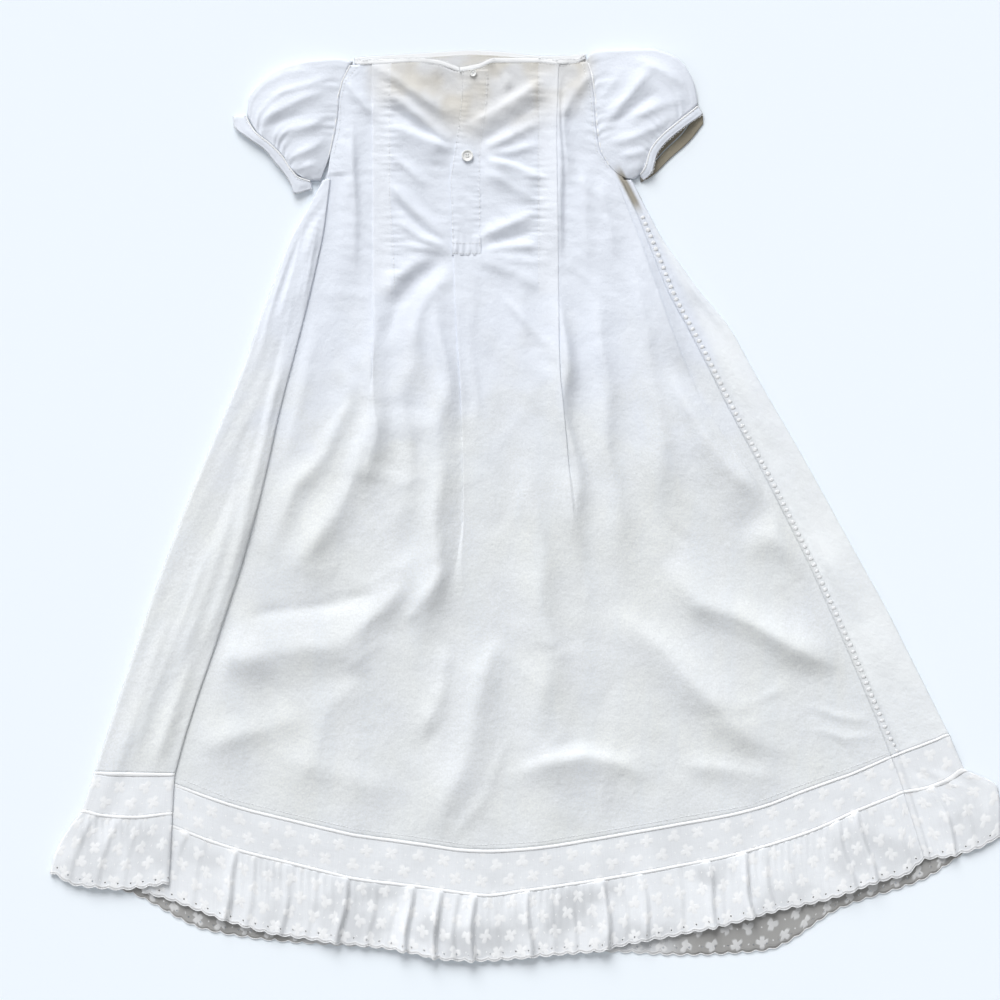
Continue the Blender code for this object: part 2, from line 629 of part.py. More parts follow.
def sleeve_gather(s, c):
    """Gathers of the sleeve's head and of its cuff, on the upper half."""
    head = math.exp(-(s / 0.22) ** 2) * ease((0.75 - c) / 0.3) * ease(s / 0.1 + 0.1)
    wrist = math.exp(-((1 - s) / 0.22) ** 2) * ease((1 - s) / 0.1 + 0.1)
    sides = ease(c / 0.08) * ease((1 - c) / 0.08)
    return GATHER_HEIGHT * (head + wrist) * math.sin(2 * math.pi * GATHERS * c) * sides


def sleeve_ring(plan_up, plan_low, s, puff, mouth):
    """One closed ring round a sleeve: side point, upper half, side point, lower half."""
    edge_z = LAYER[1] + 2.2 * math.sin(math.pi * min(s, 1)) + 0.8 * s
    ring = [(*plan_up(s, 0), (edge_z + LAYER[0]) / 2)]
    for i in range(UPPER_COLUMNS):
        c = SLEEVE_NOSE + (1 - 2 * SLEEVE_NOSE) * i / (UPPER_COLUMNS - 1)
        x, y = plan_up(s, c)
        body = max(math.sin(math.pi * c), 0) ** 0.75
        z = edge_z + (puff * math.sin(math.pi * min(s, 1)) ** 0.85 + mouth * s ** 3) * body
        z += ridge_height(SLEEVE_RIDGES, x, y) * math.sin(math.pi * min(s, 1)) * body
        ring.append((x, y, z + sleeve_gather(s, c)))
    ring.append((*plan_up(s, 1), (edge_z + LAYER[0]) / 2))
    for i in range(LOWER_COLUMNS):
        c = 1 - SLEEVE_NOSE - (1 - 2 * SLEEVE_NOSE) * i / (LOWER_COLUMNS - 1)
        ring.append((*plan_low(s, c), LAYER[0]))
    return ring


def armhole(rows, column, side):
    """The body's armhole edge, a seam's gap further out."""
    return [(row[column][0] + side * ARMHOLE_GAP, row[column][1]) for row in rows[:ARMPIT_ROW]]


def make_sleeve(name, shape, side):
    if side < 0:
        arm_up = armhole(front_rows, FRONT_UNDER_END, -1) + [shape["under"][0]]
        arm_low = arm_up
    else:
        arm_up = armhole(back_rows, -1, 1) + [ARM_CORNER, shape["under"][0]]
        arm_low = armhole(front_rows, FRONT_UNDER_START, 1) + [shape["under"][0]]
    low_in = shape["low_in"] or shape["cuff_in"]
    low_out = shape["low_out"] or shape["cuff_out"]
    top = [arm_up[0]] + shape["top"][1:]

    def plan_up(s, c):
        return patch(arm_up, shape["cuff_in"], top, shape["under"], s, c)

    def plan_low(s, c):
        top_low = [arm_low[0]] + shape["top"][1:]
        return patch(arm_low, low_in, top_low, shape["under"], s, c)

    rings = [sleeve_ring(plan_up, plan_low, s, shape["puff"], shape["mouth"])
             for s in SLEEVE_ROWS]
    cloth_object("sleeve_" + name, rings, LAWN, closed_ring=True)

    def cuff_up(s, c):
        return along(shape["cuff_in"], c) * (1 - s) + along(shape["cuff_out"], c) * s

    def cuff_low(s, c):
        return along(low_in, c) * (1 - s) + along(low_out, c) * s

    cuff = []
    last = np.array(rings[-1])
    for s in (0.12, 0.55, 1.0):
        ring = sleeve_ring(cuff_up, cuff_low, s, 0, 0)
        line = []
        for (x, y, z), (_, _, end_z) in zip(ring, last):
            line.append((x, y, end_z))
        cuff.append(line)
    cloth_object("cuff_" + name, cuff, CORDING, closed_ring=True)


make_sleeve("left", SLEEVES["left"], -1)
make_sleeve("right", SLEEVES["right"], 1)

# ---------------------------------------------------------------- placket, neck and buttons
# The strip's cross lines: rows of (y, left x, right x).
PLACKET = [(346, -51, -28.5), (338, -50, -29), (321, -51, -30), (306, -52.5, -32), (282, -56, -35),
           (258, -60, -35.5), (232, -59, -35), (214, -58.5, -35), (209, -58.5, -35),
           (203, -58.5, -35), (197.5, -58.5, -35)]
BAR_RISE = {203: 2.4, 209: 1.2}   # the stitched bar across its foot stands up
PLACKET_GAP = 0.2      # added to a layer's clearance under the strip
BINDING = 3.0          # width of the neck's binding
RIM = 0.22             # width of a button's rim, as a share of its radius


def back_top(x, y):
    """Height of the right half of the back near the placket."""
    heights = []
    levels = []
    for row in back_rows[:BAR_ROW + 3]:
        part = row[BACK_SLIT_END:BACK_SLIT_END + 7]
        heights.append(np.interp(x, [p[0] for p in part], [p[2] for p in part]))
        levels.append(np.interp(x, [p[0] for p in part], [p[1] for p in part]))
    return float(np.interp(y, levels[::-1], heights[::-1]))


placket_rows = []
for y, x_left, x_right in PLACKET:
    line = []
    for i in range(5):
        x = x_left + (x_right - x_left) * i / 4
        z = max(back_top(x, y + step) for step in (-8, -4, 0, 4, 8)) + PITCH + PLACKET_GAP
        line.append((x, y, z + BAR_RISE.get(y, 0)))
    placket_rows.append(line)
cloth_object("placket", placket_rows, LAWN)


def neck_line(row, start, end):
    """The panel's top edge between two x places, without the points folded back under."""
    line = []
    for x, y, _ in sorted(row):
        if start < x < end and (not line or x - line[-1][0] > 4):
            line.append((x, y + 2 * SEAM_GAP))
    return line


def binding_rows():
    """The neck's bias binding: from the slit, round the front, and back to the slit."""
    z_back = LAYER[2] - 0.6
    mid = (z_back + LAYER[0]) / 2
    left = [(x, y, 1.9 if x > -72 else z_back) for x, y in neck_line(back_rows[0], -134, -48)]
    front = neck_line(front_rows[0][FRONT_UNDER_START:FRONT_UNDER_END + 1], -130, 44)
    right = [(x, y, 3.6 if x < -36 else z_back) for x, y in neck_line(back_rows[0], -57.5, 46)]
    path = left[::-1]
    path += [(-135.2, 352.4, z_back), (-136.2, 353, mid), (-135.2, 353.6, LAYER[0])]
    path += [(x, y, LAYER[0]) for x, y in front]
    path += [(47.4, 356.4, LAYER[0]), (48.4, 356.2, mid), (47.4, 356, z_back)]
    path += right[::-1]
    return [path, [(x, y + BINDING, z) for x, y, z in path]]


cloth_object("neck_binding", binding_rows(), CORDING)

PEARL = make_material("Button", (0.86, 0.87, 0.88), 0.3)


def button(name, at, radius, thickness, floor):
    """A turned button with a rolled rim and a sunk middle."""
    rim = RIM * radius
    profile = [(0, 0.62), (radius - 2 * rim, 0.62), (radius - 1.5 * rim, 0.92),
               (radius - 0.8 * rim, 1.0), (radius, 0.62), (radius, 0.3), (radius - 0.6 * rim, 0),
               (0, 0)]
    mesh = bpy.data.meshes.new(name)
    points = [(x * MM, 0, z * thickness * MM) for x, z in profile]
    mesh.from_pydata(points, [(i, i + 1) for i in range(len(points) - 1)], [])
    mesh.materials.append(PEARL)
    obj = bpy.data.objects.new(name, mesh)
    obj.location = ((at[0] - MIDDLE[0]) * MM, (at[1] - MIDDLE[1]) * MM, floor * MM)
    COLLECTION.objects.link(obj)
    screw = obj.modifiers.new("Turn", "SCREW")
    screw.steps = screw.render_steps = 18
    screw.use_merge_vertices = True
    screw.merge_threshold = 0.00001
    screw.use_smooth_shade = True
    return obj


def placket_top(at, radius):
    """Top of the placket under a button."""
    found = [z for row in placket_rows for x, y, z in row
             if abs(x - at[0]) < radius + 8 and abs(y - at[1]) < radius + 14]
    return max(found) + CLOTH / 2 + SEAM_GAP


button("button_middle", BUTTON_AT, BUTTON_RADIUS, 2.2, placket_top(BUTTON_AT, BUTTON_RADIUS))
button("button_neck", NECK_BUTTON_AT, NECK_BUTTON_RADIUS, 1.6,
       placket_top(NECK_BUTTON_AT, NECK_BUTTON_RADIUS))
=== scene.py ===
"""Christening gown laid flat on its front: cloth, hem embroidery, stitching and buttons.

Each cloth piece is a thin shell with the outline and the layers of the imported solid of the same
name.  The sleeves, the cuffs and the left pleat lie lower than their solids.  Lengths in the
tables are millimetres; +Y runs from the hem towards the neck and Z = 0 is the surface.
"""

import json
import math

import bmesh
import bpy
import numpy as np
from bpy.props import FloatProperty, FloatVectorProperty, IntProperty, PointerProperty
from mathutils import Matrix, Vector
from mathutils.bvhtree import BVHTree

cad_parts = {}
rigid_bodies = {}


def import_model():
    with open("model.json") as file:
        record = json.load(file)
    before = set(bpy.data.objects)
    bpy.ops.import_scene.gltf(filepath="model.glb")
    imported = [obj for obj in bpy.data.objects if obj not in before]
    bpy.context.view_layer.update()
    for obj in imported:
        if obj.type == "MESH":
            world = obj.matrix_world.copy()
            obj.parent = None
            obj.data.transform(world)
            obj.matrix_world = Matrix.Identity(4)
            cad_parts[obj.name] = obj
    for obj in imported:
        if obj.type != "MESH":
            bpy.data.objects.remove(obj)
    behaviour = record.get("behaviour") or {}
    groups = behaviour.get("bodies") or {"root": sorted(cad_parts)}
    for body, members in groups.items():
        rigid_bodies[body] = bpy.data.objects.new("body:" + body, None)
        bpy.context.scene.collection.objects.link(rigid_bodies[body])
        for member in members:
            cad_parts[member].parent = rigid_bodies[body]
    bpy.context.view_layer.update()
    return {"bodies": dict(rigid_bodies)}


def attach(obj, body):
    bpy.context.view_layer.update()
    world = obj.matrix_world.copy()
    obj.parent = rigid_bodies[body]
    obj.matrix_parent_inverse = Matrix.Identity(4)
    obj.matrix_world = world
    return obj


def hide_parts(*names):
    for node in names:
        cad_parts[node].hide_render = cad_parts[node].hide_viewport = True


bl_info = {
    "name": "Christening Gown",
    "version": (1, 0, 0),
    "blender": (4, 5, 0),
    "location": "View3D > Sidebar > Gown",
    "description": "Builds a lawn christening gown with an embroidered voile hem",
    "category": "Object",
}

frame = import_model()
BODY = list(frame["bodies"])[0]

MM = 0.001
PITCH = 1.4            # from one lying layer to the next
LAYER = [0.5 + PITCH * i for i in range(4)]   # mid-heights of lying layers
SEAM_GAP = 0.35        # clearance between two pieces that are sewn together

BODY_TOP = 352.0       # mean height of the neck and shoulder line
BODY_HEM = -235.0      # mean height of the upper piping
BODY_HEIGHTS = [352, 330, 306, 282, 258, 236, 209, 197, 172, 142, 113, 85, 58, 30, 0, -32,
                -65, -100, -135, -170, -205, -233]
ARMPIT_ROW = 4         # the side wraps start at this row
BAR_ROW = 6            # the placket slit is open above this row
UNDERSIDE = slice(8, 20)   # the front's columns that lie on the surface
SLIT = (16, 21)        # the back's columns on both sides of the slit

SCALLOP = 11.0         # width of one scallop of the ruffle
SCALLOP_DEPTH = 2.2
CORD = 2.2             # width of the corded piping
PIPING_CROWN = 0.65    # height of the piping above the cloth beside it
BAND_DEPTH = 33.0
RUFFLE_DROP = 52.0
SIDE_HEIGHT = 3.6      # mid-height of the cloth just inside the left side's rounded edge
LOW_SIDE_HEIGHT = 2.6  # the same at the right side
LEFT_NOSE = 1.3
RIGHT_NOSE = 1.0
LAP_WIDTH = 6.0        # widest lap of the front over the back at the right seam
STEP_DEPTH = 1.4       # a fold this shallow is a plain step

BUTTON_AT = (-46.0, 277.0)
BUTTON_RADIUS = 4.75
NECK_BUTTON_AT = (-41.5, 343.0)
NECK_BUTTON_RADIUS = 2.8

MIDDLE = np.array([0.0, -1.39, 0.0])   # middle of the gown's outline, moved to the origin

# Lines that run down the gown: rows of (y, x), from the neck to the ruffle's edge.
LEFT_EDGE = [(356, -137), (340, -145), (322, -150), (306, -150), (282, -155), (262, -161),
             (250, -163), (238, -172), (215, -186), (183, -198), (153, -210), (104, -226),
             (50, -249), (2, -269), (-62, -293), (-136, -318), (-215, -344), (-246, -354),
             (-262, -366), (-276, -374), (-294, -380)]
FRONT_RIGHT_EDGE = [(358, 49), (342, 53), (322, 56), (300, 57), (282, 60), (270, 70),
                    (261, 84), (244, 93), (226, 101), (209, 111), (195, 121), (170, 139),
                    (137, 166), (99, 186), (46, 217), (-14, 250), (-85, 289), (-185, 339),
                    (-213, 351), (-219, 366), (-226, 377), (-240, 380), (-264, 380)]
BACK_ARMHOLE = [(358, 49), (342, 53), (322, 56), (300, 57), (282, 60), (270, 66), (260, 72)]
RIGHT_FOLD = [(262, 71), (238, 81), (210, 92), (170, 106), (126, 121), (74, 145), (18, 184),
              (-34, 212), (-110, 238), (-190, 270), (-260, 284), (-300, 290)]
RIGHT_SEAM = [(262, 78), (238, 89), (210, 100), (170, 116), (126, 140), (74, 166), (18, 196),
              (-46, 228), (-110, 257), (-174, 284), (-218, 301), (-250, 311), (-290, 324)]
LEFT_FOLD = [(262, -155), (238, -158), (210, -162), (170, -171), (126, -182), (74, -196),
             (18, -208), (-46, -225), (-110, -246), (-174, -268), (-218, -280), (-302, -284)]
LEFT_TUCK = [(356, -122), (126, -121), (20, -126), (-110, -140), (-235, -150), (-350, -160)]
RIGHT_TUCK = [(356, 27), (300, 25), (200, 26.5), (113, 27), (40, 34), (-70, 46), (-235, 62),
              (-350, 70)]
CENTRE_PLEAT = [(356, -50), (306, -52), (258, -59), (205, -57), (170, -56), (130, -54),
                (86, -51), (-6, -49), (-60, -54), (-235, -66), (-350, -74)]

# How far each fold tucks under its edge: rows of (y, depth).  A negative depth is a
# fold that has opened into a slope.
LEFT_TUCK_DEPTH = [(356, 14), (165, 14), (130, 7), (95, 1.4), (40, -9), (-60, -14)]
RIGHT_TUCK_DEPTH = [(356, 15), (160, 15), (110, 11), (85, 8), (58, 5), (30, 2.5), (0, 1.4),
                    (-65, -10), (-100, -14)]
CENTRE_DEPTH = [(356, 13), (190, 14), (130, 13), (60, 9), (0, 4), (-35, 1.4), (-110, -12)]
RIGHT_FOLD_DEPTH = [(262, 1.4), (236, 3.5), (209, 7), (120, 10), (60, 6), (15, 1.4), (-60, -12)]

# The gown's cross lines: rows of (x, y).
BACK_NECK = [(-138, 350), (-76, 353), (-64, 348), (-54, 344.5), (-44, 345), (-38, 347),
             (-26, 352), (10, 352), (25, 350.5), (34, 351), (52, 353)]
FRONT_NECK = [(-138, 353), (-90, 356), (-40, 359), (-12, 357), (10, 354), (52, 355)]
BACK_CORD = [(-300, -217), (-278, -226), (-235, -242), (-182, -255), (-134, -266), (-88, -272),
             (-42, -279), (11, -276), (60, -268), (111, -259), (178, -247), (220, -231),
             (262, -216), (306, -197)]
BACK_LOW_CORD = [(-300, -250), (-282, -258), (-258, -268), (-220, -280), (-182, -289),
                 (-134, -301), (-88, -306), (-34, -314), (34, -305), (78, -298), (145, -286),
                 (178, -278), (220, -266), (254, -250), (292, -235), (322, -222)]
BACK_EDGE = [(-301, -309), (-258, -325), (-212, -341), (-156, -349), (-103, -355),
             (-66, -363), (-27, -364), (4, -361), (60, -356), (106, -345), (145, -341),
             (178, -329), (220, -320), (255, -312), (280, -301), (304, -296), (326, -276)]
FRONT_CORD = [(-346, -215), (-280, -236), (-180, -255), (-60, -266), (60, -266), (180, -245),
              (280, -212), (340, -185)]
FRONT_LOW_CORD = [(-354, -246), (-280, -268), (-180, -288), (-60, -300), (60, -300),
                  (180, -276), (290, -240), (350, -213)]
FRONT_EDGE = [(-380, -294), (-350, -303), (-322, -308), (-303, -314), (-300, -324), (-266, -337),
              (-228, -346), (-180, -350), (-60, -357), (60, -357), (120, -359), (150, -362),
              (180, -362), (205, -348), (222, -345), (249, -323), (274, -316), (310, -304),
              (335, -289), (359, -281), (380, -266)]
WRAP_CORD = [(-346, -215), (-327, -219), (-304, -219), (-280, -217)]
WRAP_LOW_CORD = [(-354, -246), (-335, -251), (-312, -252), (-282, -248)]
WRAP_EDGE = [(-380, -294), (-371, -303), (-350, -307), (-319, -309), (-283, -302)]

# Soft folds: (height, half-width, the points that the fold runs through).
BACK_FOLDS = [
    (8.0, 19, [(-262, -128), (-226, -124), (-180, -119), (-144, -109), (-114, -90)]),
    (-2.6, 6, [(-232, -92), (-190, -86), (-150, -78), (-108, -68)]),
    (5.0, 12, [(-144, -112), (-114, -88), (-98, -66), (-86, -30)]),
    (4.0, 14, [(-270, -200), (-225, -184), (-165, -165)]),
    (6.5, 12, [(-124, 84), (-134, 24), (-160, -20), (-194, -66)]),
    (4.5, 9, [(-128, 120), (-150, 60), (-182, 12), (-206, -50)]),
    (4.2, 9, [(-96, 180), (-94, 110), (-92, 50), (-92, 0), (-108, -54)]),
    (3.0, 5, [(-68, -46), (-78, -68), (-92, -100)]),
    (7.6, 10, [(-66, 200), (-68, 140), (-69, 60), (-70, 18), (-74, -56), (-84, -140)]),
    (5.4, 9, [(-121, 190), (-120, 110), (-120, 50), (-126, -10)]),
    (3.2, 9, [(-166, 160), (-180, 90), (-196, 30)]),
    (6.0, 14, [(-22, -96), (-38, -160), (-54, -220), (-74, -272)]),
    (3.0, 7, [(-60, -110), (-66, -150), (-84, -190)]),
    (5.0, 13, [(6, 60), (12, -46), (18, -130), (16, -236)]),
    (8.5, 10, [(27, 190), (30, 113), (36, 40), (42, -6), (50, -64)], 0.3),
    (1.8, 3, [(-22, 172), (0, 142), (24, 112)]),
    (1.5, 3.4, [(-44, 180), (-38, 120), (-41, 50)]),
    (6.5, 17, [(-14, -226), (14, -208), (48, -203), (82, -212), (108, -232)], 0.5),
    (5.0, 10, [(58, 200), (63, 110), (68, 40), (80, -76)]),
    (5.0, 11, [(84, 210), (98, 130), (106, 60), (118, -30)]),
    (8.0, 12, [(112, 110), (126, 84), (148, 46), (172, 12), (196, -18)], 0.3),
    (7.0, 7, [(84, 240), (94, 209), (108, 170), (122, 126), (136, 96)]),
    (5.0, 12, [(176, -12), (206, -34), (244, -56)]),
    (9.0, 13, [(108, -44), (142, -78), (196, -105), (260, -134)]),
    (9.0, 13, [(66, -76), (88, -104), (132, -146), (172, -178), (220, -198)]),
    (2.6, 10, [(116, -204), (165, -213), (216, -216)]),
    (2.6, 13, [(-136, -130), (-160, -180), (-186, -240)]),
    (1.8, 13, [(-214, -200), (-150, -214), (-84, -232)]),
    (1.3, 2.4, [(220, -168), (250, -177), (282, -179)]),
    (1.3, 2.4, [(224, -184), (256, -190), (290, -187)]),
    (1.6, 3, [(-10, -180), (-34, -236), (-60, -272)]),
    # the bodice: folds that pull towards the two buttons and the stitched bar
    (5.0, 5.0, [(-126, 352), (-105, 341), (-78, 322), (-52, 303)]),
    (4.2, 4.0, [(-118, 334), (-96, 320), (-74, 301), (-53, 285)]),
    (-2.0, 3.5, [(-114, 322), (-92, 306), (-66, 291)]),
    (4.6, 7.0, [(-112, 304), (-86, 294), (-54, 281)], 0.75),
    (2.4, 3.6, [(-112, 282), (-94, 268), (-74, 247)]),
    (2.8, 4.0, [(-112, 262), (-92, 236), (-62, 209)]),
    (-1.6, 3, [(-110, 246), (-90, 224), (-66, 205)]),
    (2.6, 3.0, [(-106, 226), (-84, 211), (-60, 203)]),
    (1.8, 2.6, [(-106, 206), (-84, 203), (-60, 200)]),
    (4.4, 8.0, [(24, 344), (6, 331), (-22, 313), (-50, 299)], -0.6),
    (-1.8, 6, [(22, 324), (-2, 310), (-26, 294), (-46, 283)]),
    (3.0, 3.6, [(16, 306), (-12, 293), (-40, 281)]),
    (2.0, 3.4, [(16, 288), (-8, 282), (-38, 278)]),
    (4.0, 7.0, [(-36, 277), (-8, 270), (18, 258)], 0.75),
    (2.2, 5, [(16, 238), (-8, 252), (-36, 268)]),
    (3.0, 4.6, [(16, 234), (-12, 221), (-44, 208)]),
    (-1.6, 3, [(16, 218), (-8, 211), (-36, 204)]),
    (2.2, 3, [(16, 206), (-8, 204), (-38, 202)]),
    (2.4, 5, [(16, 170), (-8, 184), (-42, 199)]),
    (1.6, 3, [(16, 188), (-8, 194), (-38, 200)]),
    (-3.6, 6, [(-60, 200), (-82, 182), (-104, 160), (-116, 116)]),
    (2.6, 6, [(-58, 190), (-76, 166), (-90, 140), (-94, 110)]),
    (3.0, 6, [(-74, 198), (-98, 184), (-116, 168)]),
    (-2.3, 7, [(-74, 346), (-62, 330), (-56, 314)]),
    (-2.2, 8, [(-28, 354), (-18, 338), (-6, 322)]),
    (2.6, 4, [(-24, 352), (-16, 338), (-12, 326)]),
    (2.6, 4.5, [(-148, 344), (-136, 326), (-116, 304)]),
    (3.0, 8, [(-140, 320), (-138, 250), (-134, 170)], 0.5),
    (2.8, 5, [(54, 346), (40, 326), (30, 304)]),
    (3.4, 6, [(29, 350), (27, 300), (27, 240), (29, 180)], 0.6),
    (2.2, 5, [(36, 340), (32, 300), (34, 250)]),
    (1.9, 7, [(46, 280), (48, 230), (50, 180)]),
    (2.0, 6, [(58, 262), (66, 226), (72, 190)]),
    (1.6, 8, [(-2, 190), (-4, 160), (-2, 110)]),
]
WRAP_FOLDS = [
    (1.3, 4, [(-166, 230), (-174, 196), (-184, 150)]),
    (1.6, 5, [(-181, 186), (-190, 140), (-200, 92), (-214, 40)]),
    (2.4, 6, [(-190, 124), (-208, 50), (-228, -30), (-240, -70)]),
    (2.6, 7, [(-208, 20), (-236, -60), (-262, -130)]),
    (2.4, 8, [(-226, 20), (-250, -60), (-284, -150)]),
    (2.4, 7, [(-260, -110), (-282, -170), (-300, -224)]),
    (1.8, 5, [(-190, 204), (-202, 160), (-214, 104)]),
    (2.0, 6, [(-240, 0), (-268, -80), (-300, -160), (-318, -226)]),
    (1.8, 6, [(-284, -90), (-308, -160), (-332, -232)]),
    (1.2, 2.6, [(-164, 232), (-171, 190), (-180, 140)]),
    (1.2, 2.6, [(-174, 230), (-184, 190), (-198, 140)]),
    (-1.5, 4, [(-214, 80), (-236, 10), (-262, -60)]),
    (-1.4, 5, [(-190, 150), (-206, 80), (-222, 20)]),
    (2.0, 7, [(100, 206), (118, 184), (142, 154)]),
    (1.5, 9, [(140, 146), (170, 96), (206, 36)]),
    (2.0, 12, [(230, -20), (262, -84), (302, -154)]),
    (1.2, 4, [(196, 40), (232, -24), (270, -100)]),
]
SLEEVE_FOLDS = [
    (2.4, 4.5, [(-218, 300), (-200, 311), (-178, 322), (-154, 330)]),
    (2.2, 4.2, [(-208, 288), (-190, 296), (-170, 301), (-152, 312)]),
    (2.0, 4.0, [(-196, 272), (-182, 277), (-168, 284), (-156, 294)]),
    (2.0, 4.0, [(-222, 318), (-210, 336), (-190, 345), (-168, 344)]),
    (1.5, 3.0, [(-206, 320), (-192, 328), (-172, 334), (-152, 340)]),
    (1.2, 2.4, [(-190, 262), (-178, 267), (-164, 272)]),
    (-1.3, 4, [(-212, 296), (-196, 304), (-170, 312)]),
    (2.8, 4.5, [(58, 296), (76, 316), (90, 334), (106, 354)]),
    (2.5, 5, [(64, 286), (86, 291), (106, 300), (128, 314)]),
    (2.1, 4.5, [(84, 356), (106, 346), (132, 330)]),
    (2.0, 4.5, [(80, 304), (104, 315), (132, 324)]),
    (1.6, 3.5, [(74, 276), (90, 279), (106, 286)]),
    (-1.6, 4, [(66, 300), (84, 312), (110, 332)]),
    (1.3, 3, [(56, 318), (70, 334), (80, 352)]),
    (1.1, 2.6, [(60, 308), (80, 322), (98, 342)]),
]

SIDE_SEAM = [(94, 228), (104, 204), (120, 164), (143, 122), (169, 70), (199, 14),
             (231, -50), (260, -114), (287, -178), (303, -212)]

# Lines on the back where a tight thread puckers the cloth: (points, spacing of the puckers,
# their share of the pucker height, how far they reach, a number that sets them apart).
BACK_PUCKERS = [
    ([(-107, 344), (-107, 250), (-104, 206), (-103, 171)], 5.4, 1.9, 6.5, 0),
    ([(10.5, 346), (10.5, 250), (11, 176)], 5.4, 1.9, 6.5, 1),
    ([(-51.5, 342), (-52.5, 306), (-57, 270), (-60, 240), (-60, 205)], 4.4, 0.7, 5, 3),
    ([(-29.5, 342), (-31, 306), (-35, 270), (-35.5, 240), (-35.5, 205)], 4.4, 0.7, 5, 4),
    ([(-64, 203), (-30, 201)], 4.6, 1.0, 7, 1),
    ([(50, 350), (53, 322), (57, 300), (60, 282), (70, 265)], 3.4, 1.1, 7, 5),
    ([(-138, 350), (-147, 330), (-151, 300), (-158, 262)], 3.6, 1.0, 7, 6),
    (SIDE_SEAM, 6.5, 1.1, 5, 9),
    ([(72, 262), (86, 238), (98, 210), (108, 186)], 5.0, 1.3, 12, 7),
]
WRAP_PUCKERS = [([(-160, 256), (-166, 225), (-176, 190)], 5, 0.5, 7, 0)]


def on_table(table, at):
    """Value of a two-column table at one or many places, straight between its rows."""
    rows = sorted(table)
    return np.interp(at, [row[0] for row in rows], [row[1] for row in rows])


def ease(value):
    value = np.clip(value, 0.0, 1.0)
    return value * value * (3 - 2 * value)


def path_lengths(path):
    """A path as an array, the length of each of its spans, and how far along it each one starts."""
    path = np.array(path, float)
    spans = np.linalg.norm(np.diff(path, axis=0), axis=1)
    return path, spans, np.concatenate([[0], np.cumsum(spans)])


def dome(t):
    """Height of a half circle over -1 to 1."""
    return math.sqrt(max(0.0, 1 - t * t))


def in_place(points):
    """Table points in metres about the gown's middle."""
    return (points - MIDDLE) * MM


# ---------------------------------------------------------------- the lie of the cloth
def level(top, lines, x, v):
    """Y of the cross line v at x: 0 is the neck, then the two cords and the edge at 1, 2, 3."""
    cord, low_cord, edge = [on_table(line, x) for line in lines]
    if v > 2:
        return low_cord + (edge - low_cord) * (v - 2)
    if v > 1:
        return cord + (low_cord - cord) * (v - 1)
    mean = BODY_TOP + (BODY_HEM - BODY_TOP) * v
    at_top = on_table(top, x) - BODY_TOP
    return mean + at_top * (1 - v) ** 6 + (cord - BODY_HEM) * v ** 2


BODY_V = [(BODY_TOP - height) / (BODY_TOP - BODY_HEM) for height in BODY_HEIGHTS]
ARMPIT_V = BODY_V[ARMPIT_ROW]
BAR_V = BODY_V[BAR_ROW]
FRONT_LINES = (FRONT_CORD, FRONT_LOW_CORD, FRONT_EDGE)
BACK_LINES = (BACK_CORD, BACK_LOW_CORD, BACK_EDGE)
WRAP_LINES = (WRAP_CORD, WRAP_LOW_CORD, WRAP_EDGE)


def meet(line, top, lines, v):
    """X where a line that runs down the gown meets the cross line v."""
    x = on_table(line, BODY_TOP)
    for _ in range(12):
        x = on_table(line, level(top, lines, x, v))
    return float(x)


def spread(start, end, count):
    """Evenly spaced values between two columns, both left out."""
    return [start + (end - start) * (i + 1) / (count + 1) for i in range(count)]


def mix(start, end, part):
    return [a + (b - a) * part for a, b in zip(start, end)]


def folded_step(edge, depth, high, low, faces_right):
    """Six (x, z) points of a fold: the upper layer's nose, back under it, and the lower layer."""
    middle = (high + low) / 2
    nose = min((high - middle) / 2, 0.8)
    tucked = max(depth, STEP_DEPTH)
    closed_x = [-nose, 0, -nose, nose - tucked, -tucked, nose - tucked]
    closed_z = [high, (high + middle) / 2, middle, middle, (middle + low) / 2, low]
    step_x = [-1.2, -0.6, -0.2, 0.2, 0.6, 1.2]
    step_z = [high - (high - low) * i / 5 for i in range(6)]
    part = ease((tucked - STEP_DEPTH) / 4)
    xs, zs = mix(step_x, closed_x, part), mix(step_z, closed_z, part)
    if depth < STEP_DEPTH:
        open_x = [-12, -7, -2, 3, 8, 13]
        open_z = [high - (high - low) * ease(i / 5) for i in range(6)]
        part = ease((STEP_DEPTH - depth) / 14)
        xs, zs = mix(xs, open_x, part), mix(zs, open_z, part)
    side = 1 if faces_right else -1
    points = [(edge + side * x, z) for x, z in zip(xs, zs)]
    return points if faces_right else points[::-1]


def west(fold):
    """X just left of all of a fold."""
    return min(x for x, _ in fold) - 1.5


def east(fold):
    """X just right of all of a fold."""
    return max(x for x, _ in fold) + 1.5


def seam_lap(v):
    """Where the front's lap over the right seam starts, and how wide the lap is."""
    seam = meet(RIGHT_SEAM, BACK_NECK, BACK_LINES, v) - 2.5
    near_x = meet(FRONT_RIGHT_EDGE, FRONT_NECK, FRONT_LINES, v) - 1
    return seam, min(LAP_WIDTH, (near_x - seam) * 0.6)


def pleat_depth(y):
    """How far the back runs on under the left pleat to its seam."""
    return min(0.5 * (on_table(LEFT_FOLD, y) - on_table(LEFT_EDGE, y)), 22.0)


def fold_points(edge, depth, faces_right, y, rise=0.0):
    opened = ease((STEP_DEPTH - depth) / 14)
    loose = 0.4 if rise else 0.7 * ease((175 - y) / 50)
    high = LAYER[1] + (0.7 + loose * (1 - opened))
    return folded_step(edge, depth, high, LAYER[1], faces_right)


